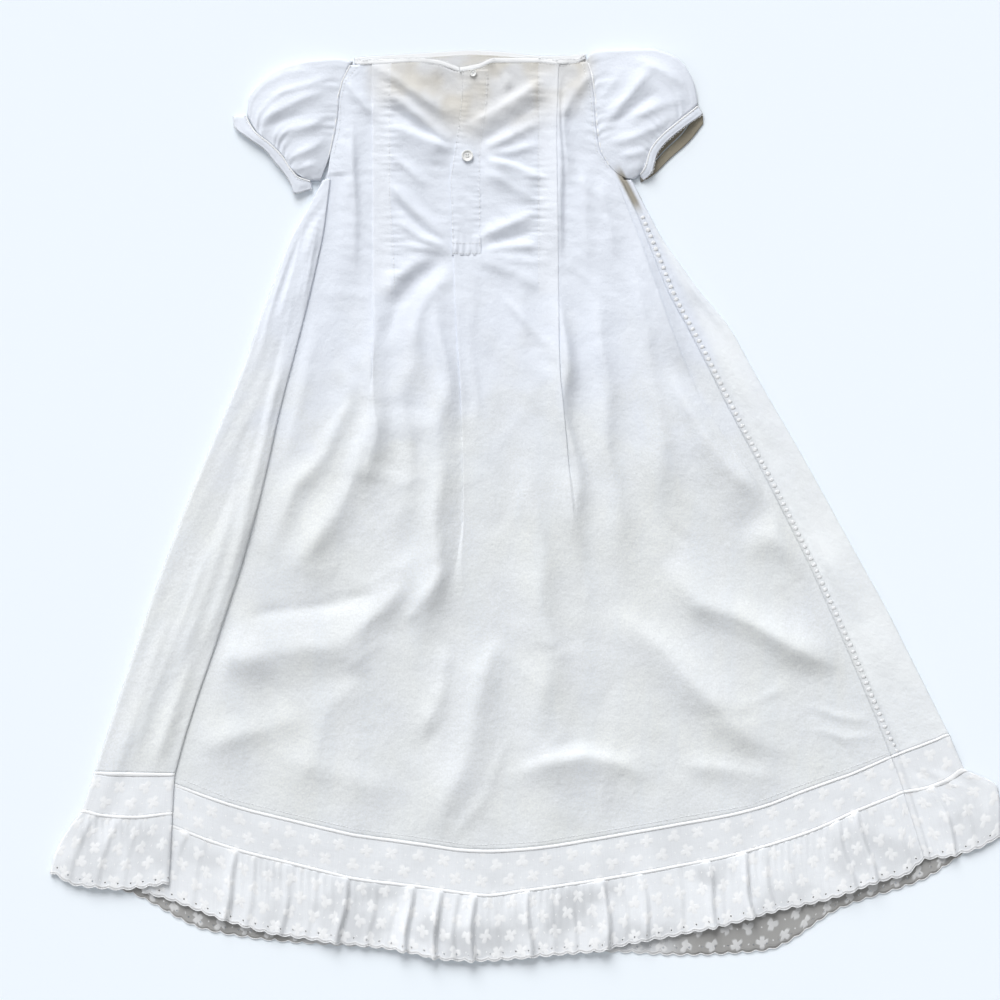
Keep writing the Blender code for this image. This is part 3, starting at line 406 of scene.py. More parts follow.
def back_section(v):
    """The back panel across one cross line, from its hidden left seam to its right seam.

    Points are (x, y, z, freedom); freedom is how far the soft folds lift that point.
    """
    left = meet(LEFT_FOLD, BACK_NECK, BACK_LINES, v)
    above_armpit = v < ARMPIT_V - 1e-6

    def y_of(x):
        return float(level(BACK_NECK, BACK_LINES, x, v))

    if above_armpit:
        start = meet(LEFT_EDGE, BACK_NECK, BACK_LINES, v) + SEAM_GAP
        left = start
    else:
        start = left - pleat_depth(y_of(left))

    def run(start_x, end_x, count, base_a, base_b):
        """Points of the open cloth between two folds, sinking from one to the other."""
        xs = spread(start_x, end_x, count)
        return [(x, base_a + (base_b - base_a) * ease((i + 1) / count)) for i, x in enumerate(xs)]

    def fold_at(line, depth_table, faces_right, rise=0.0):
        x = meet(line, BACK_NECK, BACK_LINES, v)
        return fold_points(x, on_table(depth_table, y_of(x)), faces_right, y_of(x), rise)

    tuck_l = fold_at(LEFT_TUCK, LEFT_TUCK_DEPTH, False)
    centre = fold_at(CENTRE_PLEAT, CENTRE_DEPTH, False)
    tuck_r = fold_at(RIGHT_TUCK, RIGHT_TUCK_DEPTH, True)
    if v <= BAR_V + 1e-6:
        edge = meet(CENTRE_PLEAT, BACK_NECK, BACK_LINES, v)
        centre[0] = (edge + 13, LAYER[1])
        centre[5] = (edge + 0.8, LAYER[1] + 0.8)

    points = [(start, LAYER[1]), (left + 1.5, LAYER[1])]
    points += run(left + 1.5, west(tuck_l), 3, LAYER[1], tuck_l[0][1])
    points += [(west(tuck_l), tuck_l[0][1])] + tuck_l + [(east(tuck_l), tuck_l[5][1])]
    points += run(east(tuck_l), west(centre), 2, tuck_l[5][1], LAYER[1])
    points += [(west(centre), centre[0][1])] + centre + [(east(centre), centre[5][1])]
    points += run(east(centre), west(tuck_r), 3, centre[5][1], tuck_r[0][1])
    points += [(west(tuck_r), tuck_r[0][1])] + tuck_r + [(east(tuck_r), tuck_r[5][1])]
    if above_armpit:
        end = meet(BACK_ARMHOLE, BACK_NECK, BACK_LINES, v) - SEAM_GAP
        points += run(east(tuck_r), end, 12, LAYER[1], LAYER[1]) + [(end, LAYER[1])]
    else:
        side = fold_at(RIGHT_FOLD, RIGHT_FOLD_DEPTH, True, 1.6 * ease((v - ARMPIT_V) / 0.12))
        seam, lap = seam_lap(v)
        points += run(east(tuck_r), west(side), 4, LAYER[1], side[0][1])
        points += [(west(side), side[0][1])] + side
        end = seam + 0.5 * lap
        points += [((max(east(side) - 1.5, side[5][0]) + end) / 2, side[5][1]), (end, LAYER[1])]
    return [(x, y_of(x), z, 1.0) for x, z in points]


def wrap_bow(x, t, v, y_left, fold_y):
    """How the left wrap's hem lines differ from a straight line between its sides."""
    if v <= 1:
        return 0.0
    straight = y_left + (fold_y - y_left) * t
    return (level(FRONT_NECK, WRAP_LINES, x, v) - straight) * ease(min(1, v - 0.5)) * 0.8


def front_section(v):
    """The front across one cross line: right wrap, underside on the surface, left wrap."""
    left = meet(LEFT_EDGE, FRONT_NECK, FRONT_LINES, v)
    right = meet(FRONT_RIGHT_EDGE, FRONT_NECK, FRONT_LINES, v)

    def y_under(x):
        return float(level(FRONT_NECK, FRONT_LINES, x, v))

    under = [(x, y_under(x), LAYER[0], 0) for x in spread(right, left, 11)]
    if v < ARMPIT_V - 1e-6:
        return ([(right - SEAM_GAP, y_under(right), LAYER[0], 0)] * 9 + under
                + [(left + SEAM_GAP, y_under(left), LAYER[0], 0)] * 12)
    y_right, y_left = y_under(right), y_under(left)
    seam, lap = seam_lap(v)
    seam_y = float(level(BACK_NECK, BACK_LINES, seam, v))
    near_x = right - RIGHT_NOSE
    wrap_r = []
    for i, x in enumerate([seam, seam + lap * 0.75, seam + lap] + spread(seam + lap, near_x, 3)):
        t = (x - seam) / (right - seam)
        bow = -4.0 * math.sin(math.pi * min(max(t, 0), 1)) * ease(v - 1) if v > 1 else 0.0
        z = LAYER[2] if i < 2 else LAYER[1] + 0.35 * ease(t)
        wrap_r.append((x, seam_y + (y_right - seam_y) * t + bow, z, ease((x - seam - lap) / 10)))
    top_z = min(wrap_r[-1][2], LOW_SIDE_HEIGHT)
    turn_r = [(near_x, y_right, top_z, 0), (right, y_right, (top_z + LAYER[0]) / 2, 0),
              (near_x, y_right, LAYER[0], 0)]
    fold = meet(LEFT_FOLD, FRONT_NECK, WRAP_LINES, v)
    fold_y = float(level(FRONT_NECK, WRAP_LINES, fold, v))
    hidden = fold - pleat_depth(fold_y)
    near_left = left + LEFT_NOSE
    turn_l = [(near_left, y_left, LAYER[0], 0), (left, y_left, (LAYER[0] + SIDE_HEIGHT) / 2, 0),
              (near_left, y_left, SIDE_HEIGHT, 0)]
    wrap_l = []
    high = LAYER[2] + 1.0
    for x in spread(near_left, fold - 0.8, 4):
        t = (x - left) / (fold - left)
        y = y_left + (fold_y - y_left) * t + wrap_bow(x, t, v, y_left, fold_y)
        z = SIDE_HEIGHT + (high - SIDE_HEIGHT) * ease(t * 1.6)
        wrap_l.append((x, y, z, ease((x - left) / 8)))
    upper, edge, lower = folded_step(fold, fold - hidden + 1, high, LAYER[1], True)[:3]
    nose = [(upper[0], fold_y, high, 0.6), (edge[0], fold_y, (high + LAYER[2]) / 2, 0.3),
            (lower[0], fold_y, LAYER[2], 0)]
    tail_y = y_left + (fold_y - y_left) * (hidden - left) / (fold - left)
    tail_y += wrap_bow(hidden, 0.5, v, y_left, fold_y)
    tail = [((lower[0] + hidden) / 2, (fold_y + tail_y) / 2, LAYER[2], 0),
            (hidden, tail_y, LAYER[2], 0)]
    return wrap_r + turn_r + under + turn_l + wrap_l + nose + tail


# ---------------------------------------------------------------- finer nets and soft folds
def through(places, points, at):
    """Smooth curves through points, read at other places, that never swing past a point."""
    gap = np.diff(places)[:, None, None]
    rise = np.diff(points, axis=0) / gap
    before, after = rise[:-1], rise[1:]
    same = before * after > 0
    slope = np.empty_like(points)
    slope[0], slope[-1] = rise[0], rise[-1]
    slope[1:-1] = np.where(same, 2 * before * after / np.where(same, before + after, 1), 0)
    i = np.clip(np.searchsorted(places, at, side="right") - 1, 0, len(places) - 2)
    h = gap[i]
    s = ((at - places[i])[:, None, None]) / h
    return ((1 + 2 * s) * (1 - s) ** 2 * points[i] + s * (1 - s) ** 2 * h * slope[i]
            + s * s * (3 - 2 * s) * points[i + 1] + s * s * (s - 1) * h * slope[i + 1])


def finer(net, step, axis, least=1):
    """More rows or columns in a net of points, smooth through the old ones.

    Returns the new net and, for each of its spans, the old span it came from.
    """
    if axis == 1:
        net, owner = finer(net.transpose(1, 0, 2), step, 0, least)
        return net.transpose(1, 0, 2), owner
    spans = np.linalg.norm(np.diff(net[:, :, :3], axis=0), axis=2)
    spans = np.maximum(np.percentile(spans, 80, axis=1), 0.05)
    step = step if hasattr(step, "__len__") else [step] * len(spans)
    parts = [max(least, math.ceil(span / s - 0.2)) for span, s in zip(spans, step)]
    places = np.concatenate([[0], np.cumsum(spans)])
    at = [places[i] + spans[i] * k / n for i, n in enumerate(parts) for k in range(n)]
    owner = np.repeat(np.arange(len(parts)), parts)
    return through(places, net, np.array(at + [places[-1]])), owner


def nearest(path, x, y):
    """For many places: distance to a path, length along it, and offset to its side.

    The last value is the path's whole length.
    """
    path, spans, starts = path_lengths(path)
    near = np.full(x.shape, 1e9)
    reach, side = np.zeros_like(x), np.zeros_like(x)
    for a, b, span, start in zip(path[:-1], path[1:], spans, starts):
        run = (b - a) / span
        t = np.clip(((x - a[0]) * run[0] + (y - a[1]) * run[1]) / span, 0, 1)
        off = np.hypot(x - a[0] - t * (b[0] - a[0]), y - a[1] - t * (b[1] - a[1]))
        closer = off < near
        near = np.where(closer, off, near)
        reach = np.where(closer, start + t * span, reach)
        side = np.where(closer, (x - a[0]) * run[1] - (y - a[1]) * run[0], side)
    return near, reach, side, starts[-1]


def soft_folds(folds, x, y):
    """Height that a list of soft folds adds at many places; each fold fades at both ends.

    A fold may end with a lean: above 0 its right flank is the wider one, below 0 the left.
    """
    total = np.zeros_like(x)
    for number, (height, width, path, *lean) in enumerate(folds):
        near, reach, side, whole = nearest(path, x, y)
        reach = reach / whole
        uneven = 1 + 0.18 * np.sin(9 * reach + 1.7 * number)
        swell = width * (0.85 + 0.3 * reach) * (1 + sum(lean) * np.tanh(side / 2))
        crest = np.hypot(near, 0.07 * width) / swell
        total += height * uneven * ease(reach / 0.3) * ease((1 - reach) / 0.3) \
            * np.exp(-crest ** 1.5)
    return total


def puckers(path, spacing, height, width, x, y, seed=0):
    """The small ripples that a tight thread draws up on both sides of a stitched line."""
    near, reach, _, whole = nearest(path, x, y)
    inside = ease(np.minimum(reach, whole - reach) / 6)
    phase = reach / spacing + 0.35 * np.sin(reach / (2.3 * spacing) + seed)
    uneven = 0.6 + 0.4 * np.sin(reach / (3.7 * spacing) + 2 * seed)
    return height * uneven * inside * np.sin(2 * math.pi * phase) * np.exp(-(near / width) ** 1.3)


def puckered(total, lines, x, y):
    """A height with the puckers of each stitched line laid on it."""
    high = bpy.context.scene.gown_cloth.pucker_height
    for path, spacing, share, width, seed in lines:
        total = total + puckers(path, spacing, share * high, width, x, y, seed)
    return total


def ripples(x, y, seed, size, slant=0.0, count=16):
    """Smooth uneven ripples, about -1 to 1, running along +Y or at a slant to it."""
    rng = np.random.default_rng(seed)
    total = np.zeros_like(x)
    for _ in range(count):
        angle = slant + rng.normal(0, 0.35)
        wave = 2 * math.pi / (size * rng.uniform(0.7, 1.8))
        total += np.sin(wave * (x * math.cos(angle) + y * math.sin(angle)) + rng.uniform(0, 7))
    return total / math.sqrt(count)


def small_creases(seed, count, x, y):
    """Short faint creases set into the skirt at odd places and angles."""
    rng = np.random.default_rng(seed)
    folds = []
    for _ in range(count):
        at_y = rng.uniform(-225, 215)
        left, right = on_table(LEFT_FOLD, at_y) + 8, on_table(RIGHT_SEAM, at_y) - 8
        at_x = rng.uniform(left, right)
        lean = rng.normal(0.35 * at_x / 250, 0.5) + (math.pi / 2 if rng.random() < 0.25 else 0)
        reach, bend = rng.uniform(14, 48), rng.normal(0, 3)
        along_x, along_y = math.sin(lean) * reach, -math.cos(lean) * reach
        folds.append((rng.uniform(0.25, 0.7) * rng.choice([1, 1, -1]), rng.uniform(3, 8),
                      [(at_x - along_x, at_y - along_y), (at_x + bend, at_y + bend),
                       (at_x + along_x, at_y + along_y)]))
    return soft_folds(folds, x, y)


def skirt_flow(x, y):
    """A sideways measure that spreads out with the skirt, so that it follows its drape."""
    left, right = on_table(LEFT_EDGE, y), on_table(FRONT_RIGHT_EDGE, y)
    return (x - left) / (right - left) * 520


def back_lift(x, y):
    """Height of the back's soft folds, puckers and crumple above its lying layers."""
    sizes = bpy.context.scene.gown_cloth
    clear = np.where(y < 262, on_table(LEFT_FOLD, y), on_table(LEFT_EDGE, y) - 8)
    pressed = ease((x - clear - 3) / 14) * ease((on_table(RIGHT_SEAM, y) - x - 2) / 16)
    skirt = ease((215 - y) / 120)
    drift = 1.0 + 2.2 * skirt
    total = sizes.fold_strength * (1 - 0.12 * skirt) * soft_folds(
        BACK_FOLDS, x + drift * ripples(x, y, 11, 70, 0.7), y + drift * ripples(x, y, 12, 80, 1.2))
    total += small_creases(21, 110, x, y)
    total += sizes.crumple_height * (0.25 + 0.75 * skirt) * ripples(skirt_flow(x, y), 0.3 * y, 3, 44)
    total += 0.3 * sizes.crumple_height * ripples(x, y, 4, 21, 0.9)
    total = puckered(total, BACK_PUCKERS, x, y)
    total += 0.25 * sizes.pucker_height * (1 - skirt) * ripples(x, y, 8, 10, 1.2)
    return (total + 0.4) * pressed + 0.8


def front_lift(x, y):
    """Height of the soft folds of the front's two wraps."""
    sizes = bpy.context.scene.gown_cloth
    total = sizes.fold_strength * soft_folds(WRAP_FOLDS, x, y)
    total += sizes.crumple_height * ripples(skirt_flow(x, y), 0.3 * y, 5, 22)
    return puckered(total, WRAP_PUCKERS, x, y)


PANELS = (("front", front_section, front_lift), ("back", back_section, back_lift))


def as_net(rows):
    return np.array(rows, dtype=float)


def lifted(net, lift):
    """Raises a net of (x, y, z, freedom) by its soft folds, never below the surface."""
    out = net[:, :, :3].copy()
    up = lift(net[:, :, 0], net[:, :, 1])
    low = 0.6 * PITCH
    up = np.where(up < 0, low * np.tanh(up / low), up)
    out[:, :, 2] += up * np.clip(net[:, :, 3], 0, 1)
    return out


# ---------------------------------------------------------------- finishes
class Value:
    """A shader socket that can be used in Python expressions."""

    def __init__(self, finish, socket):
        self.finish, self.socket = finish, socket

    def math(self, operation, *others):
        values = dict(enumerate((self, *others)))
        return self.finish.node("ShaderNodeMath", {"operation": operation}, values)

    def does(operation):
        return lambda self, *others: self.math(operation, *others)

    __add__ = __radd__ = does("ADD")
    __mul__ = __rmul__ = does("MULTIPLY")
    __sub__, __truediv__ = does("SUBTRACT"), does("DIVIDE")
    __abs__, sin, cos = does("ABSOLUTE"), does("SINE"), does("COSINE")
    floor, root = does("FLOOR"), does("SQRT")
    highest, lowest = does("MAXIMUM"), does("MINIMUM")
    arc = does("ARCTAN2")

    def __rsub__(self, other):
        return self.finish.node("ShaderNodeMath", {"operation": "SUBTRACT"}, {0: other, 1: self})

    def between(self, low, high):
        """0 at low and 1 at high, eased between; low may be above high."""
        return self.finish.node("ShaderNodeMapRange", {"interpolation_type": "SMOOTHSTEP"},
                                {"Value": self, "From Min": low, "From Max": high})


class Finish:
    """A node material on one Principled shader."""

    def __init__(self, name):
        self.material = bpy.data.materials.new(name)
        self.material.use_nodes = True
        self.tree = self.material.node_tree
        self.shader = self.tree.nodes["Principled BSDF"]

    def node(self, kind, settings=None, values=None, output=0):
        """Any node: its type, its settings first, then the values or links of its sockets."""
        made = self.tree.nodes.new(kind)
        for key, value in (settings or {}).items():
            setattr(made, key, value)
        for key, value in (values or {}).items():
            self.give(made.inputs[key], value)
        return Value(self, made.outputs[output])

    def give(self, socket, value):
        if isinstance(value, Value):
            self.tree.links.new(value.socket, socket)
        else:
            socket.default_value = value

    def set(self, **values):
        for key, value in values.items():
            self.give(self.shader.inputs[key.replace("_", " ")], value)

    def uv(self):
        """The cloth's own measure in millimetres: (across, down)."""
        place = self.node("ShaderNodeTexCoord", output="UV")
        across, down, _ = self.split(place)
        return across * 1000.0, down * 1000.0

    def place(self):
        return self.node("ShaderNodeTexCoord", output="Object")

    def split(self, vector):
        """The three numbers of a vector."""
        first = self.node("ShaderNodeSeparateXYZ", values={0: vector})
        return [first] + [Value(self, first.socket.node.outputs[axis]) for axis in "YZ"]

    def noise(self, vector, scale, detail=2.0, rough=0.5):
        return self.node("ShaderNodeTexNoise", values={
            "Vector": vector, "Scale": scale, "Detail": detail, "Roughness": rough})

    def vector(self, x, y, z=0.0):
        return self.node("ShaderNodeCombineXYZ", values={0: x, 1: y, 2: z})

    def blend(self, part, first, second):
        """One colour turning into another where part goes from 0 to 1."""
        return self.node("ShaderNodeMix", {"data_type": "RGBA"}, {
            "Factor": part, 6: first if isinstance(first, Value) else (*first, 1),
            7: second if isinstance(second, Value) else (*second, 1)}, output=2)

    def relief(self, *layers):
        """Bumps laid on each other: rows of (height, real depth in millimetres, strength)."""
        bump = None
        for height, depth, strength in layers:
            values = {"Height": height, "Distance": depth * MM, "Strength": strength}
            if bump is not None:
                values["Normal"] = bump
            bump = self.node("ShaderNodeBump", values=values)
        return bump

    def tones(self, base, *layers):
        """Colours laid on each other: rows of (mask, colour)."""
        for mask, colour in layers:
            base = self.blend(mask, base, colour)
        return base


def weave(finish, across, down, pitch):
    """Height of a plain weave: threads over and under each other, a little uneven."""
    drift = finish.noise(finish.vector(across * 0.05, down * 0.05), 1.0) * 0.6
    turn = math.pi / pitch
    return ((across + drift) * turn).sin() * ((down + drift) * turn).sin() * 0.5 + 0.5


def slubs(finish, across, down):
    """Thicker and thinner threads of hand-loomed cotton, along both ways of the cloth."""
    warp = finish.noise(finish.vector(across * 1.1, down * 0.05), 1.0, 3.0)
    weft = finish.noise(finish.vector(across * 0.07 + 40.0, down * 1.1), 1.0, 3.0)
    return warp * 0.6 + weft * 0.4


def lawn_finish(name, colour, bodice_shade, neck_shade_and_tone):
    """White cotton lawn: fine weave, slubs, faint creases; painted bluish shade on the bodice, painted
    shade at the neck that is partly a warmer tone of the cloth, painted light beyond the side seam and
    painted shade in the right underarm opening.
    """
    finish = Finish(name)
    across, down = finish.uv()
    place = finish.place()
    cloudy = finish.noise(place, 14.0, 3.0).between(0.36, 0.66)
    tone = slubs(finish, across, down)
    pale = tuple(min(1.0, c * 1.035) for c in colour)
    grey = tuple(c * 0.965 for c in colour)
    base = finish.blend(tone.between(0.3, 0.72), grey, pale)
    tint = finish.blend(cloudy, (colour[0] * 0.985, colour[1] * 0.99, colour[2] * 1.035),
                        (colour[0] * 1.01, colour[1] * 1.005, colour[2] * 0.965))
    base = finish.blend(0.6, base, tint)
    streaks = finish.noise(finish.vector(across * 0.055, down * 0.008), 1.0, 3.0)
    grain = finish.noise(place, 620.0, 2.0)
    east_way, north, height = finish.split(place)
    # patchy noise that breaks up the painted shade on the bodice and at the neck
    patchy = finish.noise(place, 26.0, 2.0).between(0.36, 0.6)
    # painted shade: a bluish shade tone laid over the bodice
    bodice = (north + patchy * 0.05).between(0.02, 0.20)
    beside = abs(east_way + 0.036)
    # partly painted shade, partly a warmer tone of the cloth: the neck is made darker and warmer in
    # patches
    neck = (north - beside * 0.4).between(0.27, 0.315) * beside.between(0.098, 0.078) \
        * (patchy * 0.5 + 0.5)
    tucks = abs(east_way + 0.1145).between(0.0082, 0.0066).highest(
        abs(east_way - 0.019).between(0.0088, 0.0072)) * north.between(0.165, 0.172)
    # painted light: the cloth beyond the side seam is made paler, as if it caught more light
    painted_light_past_seam = (east_way * 0.903 + north * 0.43).between(0.184, 0.192) * north.between(0.25, 0.2)
    # painted shade: the low cloth in the right underarm opening and a slanting strip along the slit are
    # made dark brown
    inside = height.between(0.0024, 0.0014) * east_way.between(0.088, 0.094) \
        * north.between(0.24, 0.25)
    slant = (east_way - 0.0825) * 0.88 + (north - 0.252) * 0.46
    along_slit = (east_way - 0.0825) * 0.46 - (north - 0.252) * 0.88
    underarm_shade = abs(slant).between(0.0042, 0.0012) * abs(along_slit).between(0.024, 0.010)
    base = finish.tones(base, (streaks.between(0.46, 0.66) * 0.4, (0.70, 0.745, 0.80)),
                        (grain.between(0.32, 0.7), tuple(c * 0.93 for c in colour)),
                        (bodice * 0.9, bodice_shade), (neck * 0.95, neck_shade_and_tone),
                        (tucks * 0.35, (0.85, 0.88, 0.935)),
                        (painted_light_past_seam * (cloudy * 0.4 + 0.4), (0.86, 0.895, 0.925)),
                        (inside.highest(underarm_shade * 0.9), (0.30, 0.27, 0.21)))
    set_in = finish.noise(finish.vector(across * 0.04, down * 0.017), 1.0, 4.0, 0.6)
    bump = finish.relief((set_in, 1.6, 0.45), (finish.noise(place, 70.0, 4.0, 0.62), 1.1, 0.6),
                         (finish.noise(place, 190.0, 4.0, 0.68), 0.5, 0.8), (tone, 0.05, 0.4),
                         (weave(finish, across, down, 0.42), 0.06, 0.7))
    finish.set(Base_Color=base, Normal=bump, Roughness=tone.between(0.2, 0.8) * 0.1 + 0.8)
    finish.set(Sheen_Weight=0.12, Sheen_Roughness=0.4, Specular_IOR_Level=0.25)
    return finish.material


SPRIG_CELL = (21.0, 12.9)   # width and depth of the voile for each sprig
SPRIG_RADIUS = 5.1          # mean reach of its leaves
LEAF_SWING = 1.45           # how far a leaf stands out from that mean


def shamrocks(finish, across, down):
    """Embroidered sprigs of three or four leaves in staggered rows, each turned its own way.

    Returns the filled mask, with the seed dots, and the smooth height of the satin stitch.
    """
    wide, deep = SPRIG_CELL
    row = (down / deep).floor()
    shifted = across / wide + row * 0.5
    column = shifted.floor()
    x = (shifted - column - 0.5) * wide
    y = (down / deep - row - 0.5) * deep
    turn = finish.node("ShaderNodeTexWhiteNoise", {"noise_dimensions": "2D"},
                       {"Vector": finish.vector(column + 0.37, row + 0.61)})
    other = finish.node("ShaderNodeTexWhiteNoise", {"noise_dimensions": "2D"},
                        {"Vector": finish.vector(column + 7.37, row + 3.61)})
    x = x + (other - 0.5) * 3.0
    y = y + (turn - 0.5) * 0.8
    far = (x * x + y * y).root()
    round_about = y.arc(x) + turn * 6.2832
    leaves = round_about * ((other * 2.0).floor() + 3.0)
    mask = 1.0 - far / (leaves.cos() * LEAF_SWING + SPRIG_RADIUS
                        - (leaves * 2.0).cos() * 0.5)
    dx = ((across / wide * 2.0 + 0.5) - (across / wide * 2.0 + 0.5).floor() - 0.5) * wide / 2
    dots = 1.0 - (dx * dx + y * y).root() / 0.8
    clear = far.between(6.4, 7.0)
    return mask.highest(dots.lowest(clear)).between(-0.04, 0.3), mask.between(0.0, 0.6)


def voile_finish(name, colour, thread, shade):
    """Sheer voile with white sprigs, and a satin-stitched edge where the measure nears 0; painted shade
    darkens the gathered ruffle, its middle and the hem's lowest layer at the sides.
    """
    finish = Finish(name)
    across, down = finish.uv()
    place = finish.place()
    sprig, swell = shamrocks(finish, across, down)
    edge = down.between(2.6, 1.9)
    hole = (across / SCALLOP - (across / SCALLOP).floor() - 0.5) * SCALLOP
    drop = down - 5.2
    ring = (hole * hole + drop * drop).root()
    eyelet = ring.between(1.35, 1.15)
    pierced = ring.between(0.75, 0.6)
    worked = edge.highest(eyelet).highest(sprig)
    tone = slubs(finish, across, down)
    ground = finish.blend(tone.between(0.3, 0.7), tuple(c * 0.97 for c in colour), colour)
    # partly a random cloudy tone, partly painted shade: the cloudy darkening is strongest in the
    # gathered ruffle and towards its middle
    gathered = down.between(56.0, 44.0)
    east_way, _, height = finish.split(place)
    middle = abs(east_way - 0.02).between(0.2, 0.1)
    clouds = finish.noise(place, 24.0, 3.0).between(0.38, 0.64)
    ground = finish.blend(clouds * (gathered * 0.6 + 0.25) * (middle * 0.4 + 0.6), ground,
                          tuple(c * 0.70 for c in colour))
    base = finish.blend(worked * (0.92 - clouds * 0.2), ground, thread)
    # painted shade: the hem's lowest layer at the two sides takes the dark shade colour, less on the
    # sprigs
    under = height.between(0.0017, 0.0010) * abs(east_way + 0.03).between(0.12, 0.17)
    base = finish.blend(under * (0.85 - sprig * 0.5), base, shade)
    threads = weave(finish, across, down, 0.5)
    satin = (across * 9.0 + down * 5.0).sin() * 0.5 + 0.5
    bump = finish.relief((finish.noise(place, 90.0, 3.0), 0.5, 0.5), (threads, 0.07, 0.7),
                         (swell.highest(edge), 0.2, 0.7), (satin * worked, 0.07, 0.8))
    cover = (0.88 + threads * 0.06 + tone * 0.08).highest(worked * 0.97) * (1.0 - pierced)
    finish.set(Base_Color=base, Normal=bump, Alpha=cover.lowest(1.0),
               Roughness=0.85 - worked * 0.25)
    finish.set(Sheen_Weight=0.1, Specular_IOR_Level=0.25)
    return finish.material


def thread_finish(name, colour, twist):
    """Cotton thread or cord: a fine slanting twist with a soft shine."""
    finish = Finish(name)
    place = finish.place()
    east_way, north, _ = finish.split(place)
    strand = ((east_way + north) * (2 * math.pi / (twist * MM))).sin() * 0.5 + 0.5
    fuzz = finish.noise(place, 900.0, 2.0)
    base = finish.blend(strand * 0.6 + fuzz * 0.4, tuple(c * 0.93 for c in colour), colour)
    bump = finish.relief((fuzz, 0.06, 0.5), (strand, 0.12, 0.7))
    finish.set(Base_Color=base, Normal=bump, Roughness=0.62 + fuzz * 0.2)
    finish.set(Specular_IOR_Level=0.3)
    return finish.material


def pearl_finish(name, colour):
    """Mother-of-pearl: faint growth bands and a cloudy shift of tone under a hard gloss."""
    finish = Finish(name)
    place = finish.place()
    cloud = finish.noise(place, 260.0, 3.0)
    bands = finish.node("ShaderNodeTexWave", {"wave_type": "BANDS", "bands_direction": "DIAGONAL"}, {
        "Vector": place, "Scale": 420.0, "Distortion": 5.0, "Detail": 2.0}, output="Fac")
    base = finish.blend(cloud.between(0.3, 0.7), colour, (0.70, 0.74, 0.74))
    base = finish.blend(bands * 0.25, base, (0.80, 0.72, 0.70))
    finish.set(Base_Color=base, Normal=finish.relief((bands + cloud, 0.05, 0.4)),
               Roughness=0.22 + cloud * 0.15)
    finish.set(Coat_Weight=0.6, Coat_Roughness=0.08, Specular_IOR_Level=0.6)
    return finish.material


def floor_finish(name, colour):
    """Smooth matt board, pale and very slightly uneven."""
    finish = Finish(name)
    place = finish.place()
    uneven = finish.noise(place, 2.0, 2.0)
    base = finish.blend(uneven, tuple(c * 0.99 for c in colour), colour)
    finish.set(Base_Color=base, Roughness=0.9 + uneven * 0.05,
               Normal=finish.relief((finish.noise(place, 600.0), 0.02, 0.3)))
    finish.set(Specular_IOR_Level=0.1)
    return finish.material


FINISHES = {}


def finish_of(name):
    """The finish of one of the gown's materials, made the first time it is asked for."""
    look = bpy.context.scene.gown_finish
    makers = {
        "lawn": (lawn_finish, "White lawn", look.lawn, look.bodice_shade, look.neck_shade_and_tone),
        "voile": (voile_finish, "Embroidered voile", look.voile, look.thread, look.under),
        "cord": (thread_finish, "Piping cord", look.thread, 1.1),
        "thread": (thread_finish, "Sewing thread", look.thread, 0.35),
        "pearl": (pearl_finish, "Pearl button", look.pearl),
        "floor": (floor_finish, "Pale board", look.floor),
    }
    if name not in FINISHES:
        make, label, *given = makers[name]
        given = [value if isinstance(value, float) else tuple(value) for value in given]
        FINISHES[name] = make(label, *given)
    return FINISHES[name]


# ---------------------------------------------------------------- making pieces
MADE = {}              # finished pieces by name
EDGES = {}             # lines of points that cords, picots and stitches follow


def net_measure(points, closed, from_edge):
    """Distances across and down a net, in metres, that its weave and sprigs follow."""
    if closed:
        points = np.concatenate([points, points[:, :1]], axis=1)
    across = np.linalg.norm(np.diff(points, axis=1), axis=2)
    across = np.concatenate([np.zeros((len(points), 1)), np.cumsum(across, axis=1)], axis=1)
    middle = across.shape[1] // 2
    across = across - across[:, middle:middle + 1]
    if from_edge is not None:
        across = np.repeat(across[-1:], len(points), axis=0)
    down = np.linalg.norm(np.diff(points, axis=0), axis=2)
    down = np.concatenate([np.zeros((1, points.shape[1])), np.cumsum(down, axis=0)], axis=0)
    if from_edge is None:
        down = np.repeat(down.mean(axis=1, keepdims=True), points.shape[1], axis=1)
    else:
        down = down[-1:] - down + from_edge
    return np.stack([across, down], axis=2) * MM


def cloth_piece(name, points, finish, wall, keep=None, closed=False, from_edge=None):
    """A thin shell of cloth on a net of table points, standing for the solid of its name."""
    rows, columns = points.shape[:2]
    index = np.arange(rows * columns).reshape(rows, columns)
    measure = net_measure(points, closed, from_edge)
    if closed:
        index = np.concatenate([index, index[:, :1]], axis=1)

    def corners(grid):
        return np.stack([grid[:-1, :-1], grid[1:, :-1], grid[1:, 1:], grid[:-1, 1:]], axis=2)

    quads, uvs = corners(index), corners(measure)
    if keep is None:
        keep = np.ones(quads.shape[:2], bool)
    quads, uvs = quads[keep].reshape(-1), uvs[keep].reshape(-1, 2)
    used, quads = np.unique(quads, return_inverse=True)
    places = in_place(points).reshape(-1, 3)[used]
    mesh = bpy.data.meshes.new(name)
    mesh.from_pydata(places.tolist(), [], quads.reshape(-1, 4).tolist())
    layer = mesh.uv_layers.new(name="Cloth")
    layer.data.foreach_set("uv", uvs.astype(np.float32).reshape(-1))
    mesh.shade_smooth()
    mesh.materials.append(finish_of(finish))
    piece = placed(name + "_cloth", mesh)
    shell = piece.modifiers.new("Wall", "SOLIDIFY")
    shell.thickness = wall * MM
    shell.offset = 0
    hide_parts(name)
    stand(piece)
    return piece


def stand(piece):
    """Every finished piece lies still with the gown's one body."""
    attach(piece, BODY)
    MADE[piece.name] = piece


